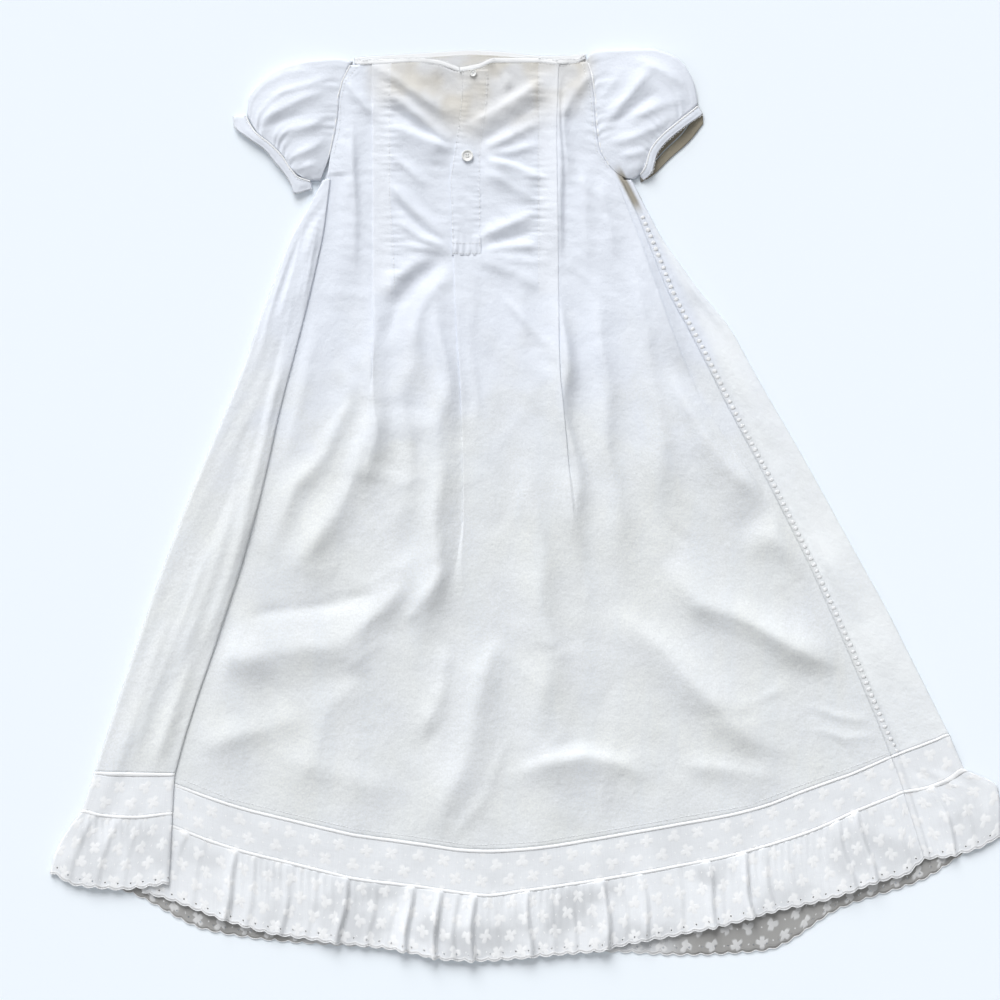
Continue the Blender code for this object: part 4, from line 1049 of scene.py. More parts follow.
def body_nets():
    """The front and back as nets of their cross sections, made once and shared by the operators."""
    if "body" not in EDGES:
        EDGES["body"] = {}
        for name, section, _ in PANELS:
            rows = BODY_V[:-1] + [1 - TUCKED_UNDER / 10]
            EDGES["body"][name] = as_net([section(v) for v in rows])
    return EDGES["body"]


def placed(name, data):
    """A new object in the scene."""
    made = bpy.data.objects.new(name, data)
    bpy.context.scene.collection.objects.link(made)
    return made


class Recipe:
    """A Geometry Nodes tree with named inputs, run on a line mesh and made a plain mesh."""

    def __init__(self, name, inputs):
        self.tree = bpy.data.node_groups.new(name, "GeometryNodeTree")
        self.tree.interface.new_socket("Geometry", in_out="INPUT", socket_type="NodeSocketGeometry")
        self.ids = {}
        for label, value in inputs.items():
            kind = "NodeSocketInt" if isinstance(value, int) else "NodeSocketFloat"
            made = self.tree.interface.new_socket(label, in_out="INPUT", socket_type=kind)
            made.default_value = value
            self.ids[label] = made.identifier
        self.tree.interface.new_socket("Geometry", in_out="OUTPUT", socket_type="NodeSocketGeometry")
        self.enter = self.tree.nodes.new("NodeGroupInput")
        self.leave = self.tree.nodes.new("NodeGroupOutput")

    def given(self, label):
        return self.enter.outputs[label]

    def node(self, kind, settings=None, values=None, output=0):
        made = self.tree.nodes.new(kind)
        for key, value in (settings or {}).items():
            setattr(made, key, value)
        for key, value in (values or {}).items():
            if isinstance(value, bpy.types.NodeSocket):
                self.tree.links.new(value, made.inputs[key])
            else:
                made.inputs[key].default_value = value
        return made.outputs[output]

    def line(self):
        return self.node("GeometryNodeMeshToCurve", values={"Mesh": self.given("Geometry")})

    def along_line(self, piece, size, turn, points):
        return self.node("GeometryNodeInstanceOnPoints", values={
            "Points": points, "Instance": piece, "Rotation": turn, "Scale": size})

    def spots(self):
        """Places a pitch apart along the line, and the turn that lays a piece along it."""
        spots = self.tree.nodes.new("GeometryNodeCurveToPoints")
        spots.mode = "LENGTH"
        self.tree.links.new(self.line(), spots.inputs["Curve"])
        self.tree.links.new(self.given("Pitch"), spots.inputs["Length"])
        turn = self.node("FunctionNodeAlignRotationToVector", {"axis": "X"},
                         {"Vector": spots.outputs["Tangent"]})
        return spots.outputs["Points"], turn

    def uneven(self, low, high):
        return self.node("FunctionNodeRandomValue", {"data_type": "FLOAT"},
                         {2: low, 3: high, "Seed": self.given("Seed")}, output=1)

    def ring(self, corners, radius):
        return self.node("GeometryNodeCurvePrimitiveCircle", values={
            "Resolution": corners, "Radius": self.given(radius)})

    def end(self, geometry, material):
        whole = self.node("GeometryNodeRealizeInstances", values={"Geometry": geometry})
        whole = self.node("GeometryNodeSetShadeSmooth", values={"Geometry": whole})
        done = self.node("GeometryNodeSetMaterial", values={"Geometry": whole, "Material": material})
        self.tree.links.new(done, self.leave.inputs["Geometry"])

    def bake(self, name, lines, given):
        """Runs the tree on lines of points in metres; the result is a plain mesh object."""
        points = [tuple(point) for line in lines for point in line]
        edges, start = [], 0
        for line in lines:
            edges += [(start + i, start + i + 1) for i in range(len(line) - 1)]
            start += len(line)
        mesh = bpy.data.meshes.new(name + "_lines")
        mesh.from_pydata(points, edges, [])
        guide = placed(name + "_lines", mesh)
        modifier = guide.modifiers.new("Recipe", "NODES")
        modifier.node_group = self.tree
        for label, value in given.items():
            modifier[self.ids[label]] = value
        seen = guide.evaluated_get(bpy.context.evaluated_depsgraph_get())
        made = bpy.data.meshes.new_from_object(seen)
        made.name = name
        piece = placed(name, made)
        bpy.data.objects.remove(guide)
        bpy.data.meshes.remove(mesh)
        if not len(made.polygons):
            raise RuntimeError(name + " came out empty")
        return piece


def stitch_recipe():
    """Stitches set end to end along lines: short domed bars with small gaps between them."""
    recipe = Recipe("Stitch line", {"Pitch": 0.0024, "Length": 0.0018, "Thickness": 0.0005,
                                    "Height": 0.0005, "Seed": 3})
    points, turn = recipe.spots()
    bar = recipe.node("GeometryNodeMeshUVSphere", values={"Segments": 6, "Rings": 4, "Radius": 0.5})
    long = recipe.node("ShaderNodeMath", {"operation": "MULTIPLY"},
                       {0: recipe.given("Length"), 1: recipe.uneven(0.82, 1.12)})
    size = recipe.node("ShaderNodeCombineXYZ", values={
        0: long, 1: recipe.given("Thickness"), 2: recipe.given("Height")})
    recipe.end(recipe.along_line(bar, size, turn, points), finish_of("thread"))
    return recipe


def cord_recipe(material):
    """A round cord along lines, with closed ends."""
    recipe = Recipe("Edge cord", {"Radius": 0.0005, "Step": 0.0012})
    even = recipe.tree.nodes.new("GeometryNodeResampleCurve")
    even.mode = "LENGTH"
    recipe.tree.links.new(recipe.line(), even.inputs["Curve"])
    recipe.tree.links.new(recipe.given("Step"), even.inputs["Length"])
    tube = recipe.node("GeometryNodeCurveToMesh", values={
        "Curve": even.outputs["Curve"], "Profile Curve": recipe.ring(6, "Radius"),
        "Fill Caps": True})
    recipe.end(tube, material)
    return recipe


def picot_recipe():
    """Tiny thread loops that stand out beside lines, one to each pitch."""
    recipe = Recipe("Picots", {"Pitch": 0.0028, "Loop": 0.0009, "Thread": 0.00022, "Seed": 5})
    points, turn = recipe.spots()
    loop = recipe.node("GeometryNodeCurveToMesh", values={
        "Curve": recipe.ring(9, "Loop"), "Profile Curve": recipe.ring(4, "Thread")})
    uneven = recipe.uneven(0.8, 1.15)
    size = recipe.node("ShaderNodeCombineXYZ", values={0: uneven, 1: uneven, 2: 1.0})
    recipe.end(recipe.along_line(loop, size, turn, points), finish_of("thread"))
    return recipe


def cloth_tops(trees, x, y):
    """Heights of the topmost cloth of each tree under one place, in metres."""
    hits = [tree.ray_cast(Vector((x, y, 0.1)), Vector((0, 0, -1)))[0] for tree in trees]
    return [hit.z for hit in hits if hit is not None]


def resting(pieces, path, step=1.2, above=0.12, reach=0.0):
    """Points along a path of (x, y), each laid on top of the given pieces, in metres.

    With a reach, each point takes the highest of the cloth at it and that far to both sides.
    """
    graph = bpy.context.evaluated_depsgraph_get()
    trees = [BVHTree.FromObject(MADE[name], graph) for name in pieces]
    path, _, starts = path_lengths(path)
    at = np.linspace(0, starts[-1], max(2, int(starts[-1] / step)))
    line = []
    for t in at:
        x = (np.interp(t, starts, path[:, 0]) - MIDDLE[0]) * MM
        y = (np.interp(t, starts, path[:, 1]) - MIDDLE[1]) * MM
        tops = [top for aside in ((-1, 0, 1) if reach else (0,))
                for top in cloth_tops(trees, x + aside * reach * MM, y)]
        if tops:
            line.append((x, y, max(tops) + above * MM))
    return line


# ---------------------------------------------------------------- settings
def number(name, about, default, low, high):
    return FloatProperty(name=name, description=about, default=default, min=low, max=high)


def length(name, about, default):
    return FloatProperty(name=name, description=about, default=default, unit="LENGTH")


def colour(name, about, *default):
    return FloatVectorProperty(name=name, description=about, subtype="COLOR", size=3,
                               default=default, min=0, max=1)


class GownClothSettings(bpy.types.PropertyGroup):
    wall: number("Lawn wall", "Thickness of the lawn, in millimetres", 0.35, 0.2, 1.0)
    row_step: number("Row step", "Spacing of the skirt's rows, in mm", 3.4, 1.5, 12)
    column_step: number("Column step", "Spacing of the columns, in mm", 3.1, 1.5, 12)
    fold_strength: number("Fold strength", "Scale of all soft folds", 1.0, 0, 1.5)
    crumple_height: number("Crumple", "Height of the uneven lie, in mm", 0.42, 0, 2)
    pucker_height: number("Puckers", "Height of seam puckers, in mm", 0.6, 0, 1.5)


class GownTrimSettings(bpy.types.PropertyGroup):
    stitch_pitch: length("Stitch pitch", "Spacing of hand stitches", 0.0026)
    stitch_length: length("Stitch length", "Length of one stitch", 0.0019)
    stitch_thickness: length("Thread", "Thickness of the sewing thread", 0.00050)
    picot_pitch: length("Picot pitch", "Spacing of the picot loops", 0.0028)
    edge_cord: length("Edge cord", "Radius of the scallops' corded edge", 0.0004)
    gathers: number("Ruffle gathers", "Height of the ruffle's folds, in mm", 4.6, 0, 8)
    seed: IntProperty(name="Seed", description="Start of the uneven stitches", default=7)


class GownFinishSettings(bpy.types.PropertyGroup):
    lawn: colour("Lawn", "Colour of the lawn", 0.762, 0.79, 0.81)
    # painted shade: the bluish tone that is laid over the bodice as its shade
    bodice_shade: colour("Bodice tone", "Bluer tone of the starched bodice", 0.75, 0.795, 0.885)
    # partly painted shade, partly a warmer tone of the cloth at the neck
    neck_shade_and_tone: colour("Neck tone", "Warmer tone of the aged neck", 0.62, 0.60, 0.555)
    voile: colour("Voile", "Colour of the sheer hem", 0.835, 0.865, 0.905)
    # painted shade: the dark colour laid on the hem's lowest layer at the sides
    under: colour("Under layer", "Tone of the hem's lowest layer", 0.30, 0.295, 0.285)
    thread: colour("Thread", "Colour of thread and embroidery", 0.895, 0.91, 0.93)
    pearl: colour("Pearl", "Colour of the buttons", 0.84, 0.85, 0.84)
    floor: colour("Board", "Colour of the surface under the gown", 0.855, 0.92, 0.985)


class GownStageSettings(bpy.types.PropertyGroup):
    height: length("Camera height", "Height of the camera above the gown", 1.9)
    span: length("View width", "Width of the view at the surface", 0.8)
    key: number("Key light", "Strength of the far soft lamp", 3.25, 0, 20)
    side: number("Side light", "Strength of the lamp at the left", 0.3, 0, 20)
    fill: number("Fill light", "Power of the overhead lamp", 40, 0, 1000)
    sky: number("Surround", "Strength of the even light", 0.32, 0, 20)


# ---------------------------------------------------------------- the pieces
class GOWN_OT_panels(bpy.types.Operator):
    """Lays the front and back panels with their tucks, pleats and soft folds"""
    bl_idname = "gown.panels"
    bl_label = "Front and back"

    def execute(self, context):
        sizes = context.scene.gown_cloth
        nets = body_nets()
        for name, _, lift in PANELS:
            net = nets[name].copy()
            if name == "front":      # above the armpits the wraps' columns are only spare ends
                for row in range(ARMPIT_ROW):
                    step = net[ARMPIT_ROW] - net[ARMPIT_ROW + 1]
                    for columns in (slice(0, UNDERSIDE.start), slice(21, None)):
                        net[row, columns] = net[ARMPIT_ROW, columns] \
                            + step[columns] * (ARMPIT_ROW - row) * 0.4
            steps = [2.3 if height > 205 else sizes.row_step for height in BODY_HEIGHTS[:-1]]
            fine, row_owner = finer(net, steps, 0)
            across = [sizes.column_step] * (net.shape[1] - 1)
            if name == "front":
                across[UNDERSIDE] = [14.0] * 12
                across[29:] = [9.0] * (len(across) - 29)
                across[3:6] = [2.2] * 3
                across[22:27] = [1.9] * 5
            else:
                across[0] = 9.0
            fine, column_owner = finer(fine, across, 1)
            if name == "front":
                keep = (row_owner[:, None] >= ARMPIT_ROW) | (
                    (column_owner[None, :] >= UNDERSIDE.start)
                    & (column_owner[None, :] < UNDERSIDE.stop))
            else:
                keep = (row_owner[:, None] >= BAR_ROW) | (
                    (column_owner[None, :] < SLIT[0]) | (column_owner[None, :] >= SLIT[1]))
            piece = cloth_piece(name, lifted(fine, lift), "lawn", sizes.wall, keep)
        return {"FINISHED"}


TUCKED_UNDER = 0.003   # how far past the cord's middle each piece beside it runs
# How far the piping's crown shows at each column of the front; it is flat where it is hidden.
FRONT_CROWN = [1] * 6 + [0.4, 0, 0] + [0] * 11 + [0, 0, 0.4] + [1] * 4 + [0.6, 0, 0] + [0] * 2


class GOWN_OT_hem(bpy.types.Operator):
    """Sews the flat voile band between its two corded pipings, on the front and the back"""
    bl_idname = "gown.hem"
    bl_label = "Band and pipings"

    def execute(self, context):
        for name, section, lift in PANELS:
            for label, v in (("upper", 1.0), ("lower", 2.0)):
                body = BODY_TOP - BODY_HEM
                above, below = (body, BAND_DEPTH) if v < 1.5 else (BAND_DEPTH, RUFFLE_DROP)
                ends = as_net([section(v - CORD / 2 / above), section(v + CORD / 2 / below)])
                middle = as_net([section(v)])[0]
                if name == "front":
                    crown = np.array(FRONT_CROWN, float)
                else:
                    fold = meet(LEFT_FOLD, BACK_NECK, BACK_LINES, v)
                    seam, _ = seam_lap(v)
                    crown = ease((middle[:, 0] - fold - 1) / 6) * ease((seam - middle[:, 0]) / 5)
                rows = []
                for t in np.linspace(-1, 1, 7):
                    side = ends[0] if t < 0 else ends[1]
                    row = middle + (side - middle) * abs(t)
                    row[:, 2] += (0.35 + 0.65 * crown) * dome(t) * PIPING_CROWN * crown
                    rows.append(row)
                net, _ = finer(as_net(rows), 2.2, 1)
                cloth_piece(f"piping_{label}_{name}", lifted(net, lift), "cord",
                                         0.6)
            net = as_net([section(v) for v in (1 + TUCKED_UNDER, 1.5, 2 - TUCKED_UNDER)])
            net, _ = finer(net, 2.4, 0)
            net, _ = finer(net, 2.4, 1)
            piece = cloth_piece("band_" + name, lifted(net, lift), "voile", 0.4,
                                from_edge=60.0)
        return {"FINISHED"}


# The ruffle's sharp creases: (x, height of the fold that breaks there).
CREASES = [(-390, 0.6), (-362, 1.2), (-343, 0.8), (-322, 1.0), (-303, 0.6), (-268, 2.2), (-252, 0.6),
           (-226, 3.4), (-210, 1.2), (-183, 2.0), (-163, 0.7), (-139, 4.0), (-116, 1.4), (-101, 0.6),
           (-88, 5.4), (-66, 6.0), (-52, 2.0), (-38, 5.2), (-18, 0.6), (6, 3.6), (24, 1.0),
           (40, 1.6), (66, 5.6), (80, 0.6), (96, 2.6), (124, 1.0), (148, 4.0), (156, 0.8),
           (176, 5.4), (192, 2.2), (211, 1.0), (233, 0.6), (252, 3.0), (268, 4.6), (294, 0.8),
           (330, 3.6), (346, 1.0), (366, 0.8), (396, 0.6)]


def gathers(x, depth):
    """Height of the ruffle's panels: each rises to the right and breaks off at a sharp crease."""
    at = np.array([place for place, _ in CREASES], float)
    i = np.clip(np.searchsorted(at, x) - 1, 0, len(at) - 2)
    t = (x - at[i]) / (at[i + 1] - at[i])
    high = np.array([height for _, height in CREASES])[i + 1]
    left = (1 - t) * (at[i + 1] - at[i])
    panel = (0.65 * np.clip(t, 0, 1) ** 1.3 + 0.5 * np.exp(-((left - 3.5) / 3.0) ** 2)) \
        * ease(left / 3.0)
    sag = 0.22 * np.sin(math.pi * t) * (1 - t)
    return high * (panel + sag) * np.interp(depth, [0, 0.1, 0.5, 1], [0.25, 0.5, 0.85, 1.0])


def ruffle_clear(name, net):
    """How free each point of the ruffle is to rise: not under the pleat, the lap or the back."""
    x, y, z = net[:, :, 0], net[:, :, 1], net[:, :, 2]
    fold, seam = on_table(LEFT_FOLD, y), on_table(RIGHT_SEAM, y)
    if name == "back":
        return ease((x - fold - 2) / 10) * ease((seam - x - 1) / 10)
    left, right = on_table(LEFT_EDGE, y), on_table(FRONT_RIGHT_EDGE, y)
    on_left = ease((x - left) / 12) * ease((fold - x + 1) / 5) * (z > LAYER[2] + 0.3)
    on_right = ease((x - seam - 4) / 10) * ease((right - x) / 12) * (z > LAYER[1] - 0.01)
    return np.where(x < fold + 5, on_left, on_right)


class GOWN_OT_ruffle(bpy.types.Operator):
    """Gathers the voile ruffle below the lower piping and shapes its scalloped edge"""
    bl_idname = "gown.ruffle"
    bl_label = "Ruffle"

    def execute(self, context):
        trim = context.scene.gown_trim
        start = 2 + TUCKED_UNDER
        for name, section, lift in PANELS:
            net = as_net([section(v) for v in (start, 2.25, 2.62, 3.0)])
            net, _ = finer(net, 2.6, 0)
            net, _ = finer(net, 1.7, 1)
            points = lifted(net, lift)
            depth = np.linspace(0, 1, len(net))[:, None]
            x = points[:, :, 0]
            lean = x * (1 - 0.05 * depth)
            fine = np.sin(2 * math.pi * (x / 5.6 + 0.4 * np.sin(x / 17.0))) * (1 - depth) ** 2 \
                * (0.5 + 0.5 * np.sin(x / 31.0 + 1)) * 0.6 * ease(depth / 0.08)
            broad = trim.gathers / 4.6 * gathers(lean + 1.5 * np.sin(5 * depth + lean / 40), depth)
            points[:, :, 2] += (fine + broad + 0.4 * depth) * ruffle_clear(name, net)
            along = np.linalg.norm(np.diff(points[-1], axis=0), axis=1)
            along = np.concatenate([[0], np.cumsum(along)])
            along -= along[len(along) // 2]
            lobe = np.abs(np.cos(math.pi * along / SCALLOP)) ** 0.75
            points[:, :, 1] -= (lobe * SCALLOP_DEPTH)[None, :] * ease((depth - 0.78) / 0.22)
            piece = cloth_piece("ruffle_" + name, points, "voile", 0.4, from_edge=0.0)
            EDGES["ruffle_" + name] = in_place(points[-1]).tolist()
        return {"FINISHED"}


# ---------------------------------------------------------------- sleeves
SLEEVE_NOSE = 1 / 90    # share of a sleeve's width that rounds over at each side
PUFF_LYING = 0.22      # share of its full puff that a sleeve keeps as it lies
MOUTH_LYING = 0.5      # the same of its open mouth
ARM_CORNER = (81.5, 259.5)
SLEEVES = {
    "left": dict(
        top=[(-138.5, 353), (-150, 355), (-171, 353.5), (-191, 349), (-202, 344), (-214, 333.5),
             (-221, 322), (-222, 310)],
        under=[(-163.5, 257.5), (-171, 257.5)],
        cuff_in=[(-222, 310), (-214, 296), (-203, 287), (-193, 277), (-188, 269), (-181, 262),
                 (-171, 257.5)],
        cuff_out=[(-233, 309), (-232, 301), (-223, 293), (-207, 281.5), (-199, 271.5), (-192, 263),
                  (-187, 255), (-184, 247), (-170, 251)],
        low_in=None, low_out=None, puff=17.0, mouth=5.0),
    "right": dict(
        top=[(50.5, 356), (53, 360), (63, 362), (78, 362.5), (99, 363), (115, 359), (122, 355),
             (131, 344), (136, 331), (138, 318)],
        under=[(87.8, 259), (91, 262)],
        cuff_in=[(138, 318), (121, 304), (107, 292), (99, 281), (95, 268), (91, 262)],
        cuff_out=[(142, 311), (125, 298.5), (112, 287.5), (105, 278), (101, 264), (95, 258)],
        low_in=[(138, 318), (127, 298), (111, 282), (98, 268), (91, 262)],
        low_out=[(143, 304), (132, 290), (116, 275.5), (101, 261), (92, 256)],
        puff=16.0, mouth=9.0),
}


def along(path, t):
    """The place at a fraction of a path's length, on a smooth line through its points."""
    path, spans, starts = path_lengths(path)
    at = starts / spans.sum()
    t = np.atleast_1d(np.asarray(t, float))
    return through(at, path[:, None, :], np.clip(t, 0, 1))[:, 0, :]


def patch(arm, cuff, top, under, s, c):
    """Places of a sleeve's half: s runs from armhole to cuff, c from shoulder to underarm."""
    c = np.asarray(c, float)
    side = c[:, None]
    corners = ((1 - s) * ((1 - side) * along(arm, 0) + side * along(arm, 1))
               + s * ((1 - side) * along(cuff, 0) + side * along(cuff, 1)))
    return ((1 - s) * along(arm, c) + s * along(cuff, c)
            + (1 - side) * along(top, s) + side * along(under, s) - corners)


def sleeve_ring(plan_up, plan_low, s, puff, mouth, upper=67, lower=19):
    """One closed ring round a sleeve as (x, y, z, c): side, upper half, side, lower half."""
    swing = math.sin(math.pi * min(s, 1))
    edge_z = LAYER[1] + 2.2 * swing + 0.8 * s
    c = np.linspace(SLEEVE_NOSE, 1 - SLEEVE_NOSE, upper)
    xy = plan_up(s, c)
    body = ease(c / 0.3) * ease((1 - c) / 0.12) * (1 - 0.55 * c)
    z = edge_z + (PUFF_LYING * puff * swing ** 1.3 + MOUTH_LYING * mouth * s ** 3) * body
    if puff:
        z = z + back_lift(xy[:, 0], xy[:, 1]) * math.exp(-(s / 0.2) ** 2)
    folds = soft_folds(SLEEVE_FOLDS, xy[:, 0], xy[:, 1]) if puff else 0
    z = z + folds * swing ** 0.6 * ease(c / 0.1) * ease((1 - c) / 0.1)
    middle = (edge_z + LAYER[0]) / 2
    over = np.column_stack([xy, z, c])
    c_low = np.linspace(1 - SLEEVE_NOSE, SLEEVE_NOSE, lower)
    below = np.column_stack([plan_low(s, c_low), np.full(lower, LAYER[0]), np.full(lower, -1.0)])
    first = np.array([[*plan_up(s, np.array([0.0]))[0], middle, -1.0]])
    last = np.array([[*plan_up(s, np.array([1.0]))[0], middle, -1.0]])
    return np.concatenate([first, over, last, below])


def sleeve_gathers(s, c):
    """Close gathers into the armhole and the cuff, uneven, on the upper half."""
    head = math.exp(-(s / 0.2) ** 2) * ease((0.82 - c) / 0.3) * ease(s / 0.07 + 0.15)
    wrist = math.exp(-((1 - s) / 0.27) ** 2) * ease((1 - s) / 0.06 + 0.15)
    sides = ease(c / 0.08) * ease((1 - c) / 0.08)
    ripple = np.sin(2 * math.pi * (13 * c + 0.5 * np.sin(13 * c) + 0.25 * np.sin(31 * c)))
    pleats = np.sin(2 * math.pi * (11 * c + 0.5 * np.sin(9 * c + 1) + 0.2 * np.sin(27 * c)))
    uneven = 0.6 + 0.4 * np.sin(23 * c + 2)
    return (0.65 * head * ripple + 0.75 * wrist * pleats) * uneven * sides


class GOWN_OT_sleeves(bpy.types.Operator):
    """Sets the two puffed sleeves, gathered into their armholes and narrow cuffs"""
    bl_idname = "gown.sleeves"
    bl_label = "Sleeves and cuffs"

    def execute(self, context):
        nets = body_nets()
        for name, shape in SLEEVES.items():
            self.sleeve(context, nets, name, shape)
        return {"FINISHED"}

    def sleeve(self, context, nets, name, shape):
        def armhole(net, column):
            return [tuple(net[row, column, :2]) for row in range(ARMPIT_ROW)]

        if name == "left":
            arm_up = arm_low = armhole(nets["front"], UNDERSIDE.stop) + [shape["under"][0]]
        else:
            arm_up = armhole(nets["back"], -1) + [ARM_CORNER, shape["under"][0]]
            arm_low = armhole(nets["front"], UNDERSIDE.start) + [shape["under"][0]]
        low_in = shape["low_in"] or shape["cuff_in"]
        low_out = shape["low_out"] or shape["cuff_out"]
        top_up = [arm_up[0]] + shape["top"][1:]
        top_low = [arm_low[0]] + shape["top"][1:]

        def plan_of(arm, cuff_line, top):
            return lambda s, c: patch(arm, cuff_line, top, shape["under"], s, c)

        def cuff_of(inner, outer):
            return lambda s, c: along(inner, c) * (1 - s) + along(outer, c) * s

        plans = (plan_of(arm_up, shape["cuff_in"], top_up), plan_of(arm_low, low_in, top_low))
        rings = []
        for s in np.concatenate([np.linspace(0, 0.2, 9)[:-1], np.linspace(0.2, 0.78, 20)[:-1],
                                 np.linspace(0.78, 1, 11)]):
            ring = sleeve_ring(*plans, s, shape["puff"], shape["mouth"])
            upper = ring[:, 3] >= 0
            ring[upper, 2] += sleeve_gathers(s, ring[upper, 3])
            rings.append(ring)
        points = as_net(rings)[:, :, :3]
        sleeve = cloth_piece("sleeve_" + name, points, "lawn", 0.5, closed=True)

        plans = (cuff_of(shape["cuff_in"], shape["cuff_out"]), cuff_of(low_in, low_out))
        rows = []
        for s in np.linspace(0.12, 1.0, 9):
            ring = sleeve_ring(*plans, s, 0, 0)
            t = (s - 0.12) / 0.88
            upper = ring[:, 3] >= 0
            ring[:, 2] = points[-1][:, 2]
            crown = 0.5 * dome(2 * min(t / 0.7, 1) - 1)
            frill = 0.35 * ease((t - 0.7) / 0.3) * np.sin(2 * math.pi * 34 * ring[upper, 3])
            sides = ease(ring[upper, 3] / 0.06) * ease((1 - ring[upper, 3]) / 0.06)
            ring[upper, 2] += (crown + frill) * sides
            rows.append(ring)
        points = as_net(rows)[:, :, :3]
        cuff = cloth_piece("cuff_" + name, points, "lawn", 0.5, closed=True)
        EDGES["cuff_" + name] = in_place(points[-1][1:68]).tolist()
        EDGES["cuff_start_" + name] = (points[0][1:68] - MIDDLE + np.array([0, 0, 0.35])) * MM
        EDGES["cuff_seam_" + name] = in_place(points[1][1:68]).tolist()


# ---------------------------------------------------------------- placket, neck and buttons
# The strip's cross lines: rows of (y, left x, right x).
PLACKET = [(346, -51, -28.5), (338, -50, -29), (321, -51, -30), (306, -52.5, -32), (282, -56, -35),
           (258, -60, -35.5), (232, -59, -35), (214, -58.5, -35), (209, -58.5, -35),
           (203, -58.5, -35), (197.5, -58.5, -35)]
BAR_RISE = {197.5: -0.35, 203: 0.7, 209: 0.3}
BINDING = 3.0


def neck_line(row, start, end):
    """The panel's top edge between two x places, without the points folded back under."""
    line = []
    for x, y in sorted((point[0], point[1]) for point in row):
        if start < x < end and (not line or x - line[-1][0] > 4):
            line.append((x, y + 2 * SEAM_GAP))
    return line


class GOWN_OT_placket(bpy.types.Operator):
    """Lays the buttoned strip over the slit and binds the neck"""
    bl_idname = "gown.placket"
    bl_label = "Placket and neck binding"

    def execute(self, context):
        nets = body_nets()
        right_half = nets["back"][:BAR_ROW + 3, SLIT[1]:28]

        def lying(x, y):
            heights = [np.interp(x, part[:, 0], part[:, 2]) for part in right_half]
            levels = [np.interp(x, part[:, 0], part[:, 1]) for part in right_half]
            return float(np.interp(y, levels[::-1], heights[::-1]))

        rows = []
        for y, x_left, x_right in PLACKET:
            line = []
            for i in range(5):
                x = x_left + (x_right - x_left) * i / 4
                z = max(lying(x, y + step) for step in (-4, 0, 4)) + (0.0 if i in (0, 4) else 0.3)
                line.append((x, y, z + BAR_RISE.get(y, 0), 1.0))
            rows.append(line)
        net, _ = finer(as_net(rows), 1.3, 0)
        net, _ = finer(net, 1.0, 1)
        piece = cloth_piece("placket", lifted(net, back_lift), "lawn", 0.22)

        def top(x, low, high):
            """The neck edge's height near an x place, between two columns of the back."""
            return max(z for px, _, z, _ in nets["back"][0][low:high] if abs(px - x) < 9) + 0.2

        z_back = LAYER[1] + 0.2
        mid = (z_back + LAYER[0]) / 2
        left = [(x, y, top(x, 0, 17), 1) for x, y in neck_line(nets["back"][0], -134, -48)]
        front = [(x, y, LAYER[0], 0) for x, y in neck_line(nets["front"][0][8:21], -130, 44)]
        right = [(x, y, top(x, 18, 60), 1)
                 for x, y in neck_line(nets["back"][0], -57.5, 46)]
        path = left[::-1]
        path += [(-135.2, 352.4, z_back, 0), (-136.2, 353, mid, 0), (-135.2, 353.6, LAYER[0], 0)]
        path += front
        path += [(47.4, 356.4, LAYER[0], 0), (48.4, 356.2, mid, 0), (47.4, 356, z_back, 0)]
        path += right[::-1]
        rows = []
        for t in np.linspace(0, 1, 8):
            crown = 0.45 * dome(2 * t - 1)
            sunk = 0.75 * (1 - ease(t / 0.3))
            rows.append([(x, y + BINDING * (1.3 * t - 0.5),
                          z + (0.6 * crown - sunk) * min(free, 1), free)
                         for x, y, z, free in path])
        net, _ = finer(as_net(rows), 1.5, 1)
        points = lifted(net, back_lift)
        piece = cloth_piece("neck_binding", points, "cord", 0.3)
        EDGES["neck"] = in_place(points[-1]).tolist()
        EDGES["neck_seam"] = ((points[1] - MIDDLE + np.array([0, 0, 0.35])) * MM).tolist()
        return {"FINISHED"}


# A button's half section: (share of the radius, share of the thickness).
BUTTON_PROFILE = [(0, 0.60), (0.50, 0.60), (0.60, 0.64), (0.70, 0.86), (0.80, 0.98), (0.90, 1.0),
                  (0.97, 0.86), (1.0, 0.62), (0.98, 0.34), (0.90, 0.14), (0.74, 0.0), (0, 0)]
BUTTON_HOLES = 4
HOLE_PLACE = 0.26      # how far from its middle a button's holes lie, as a share of its radius
HOLE_RADIUS = 0.115
BUTTON_STITCHES = ((0, 1), (3, 2))   # the holes that each stitch joins


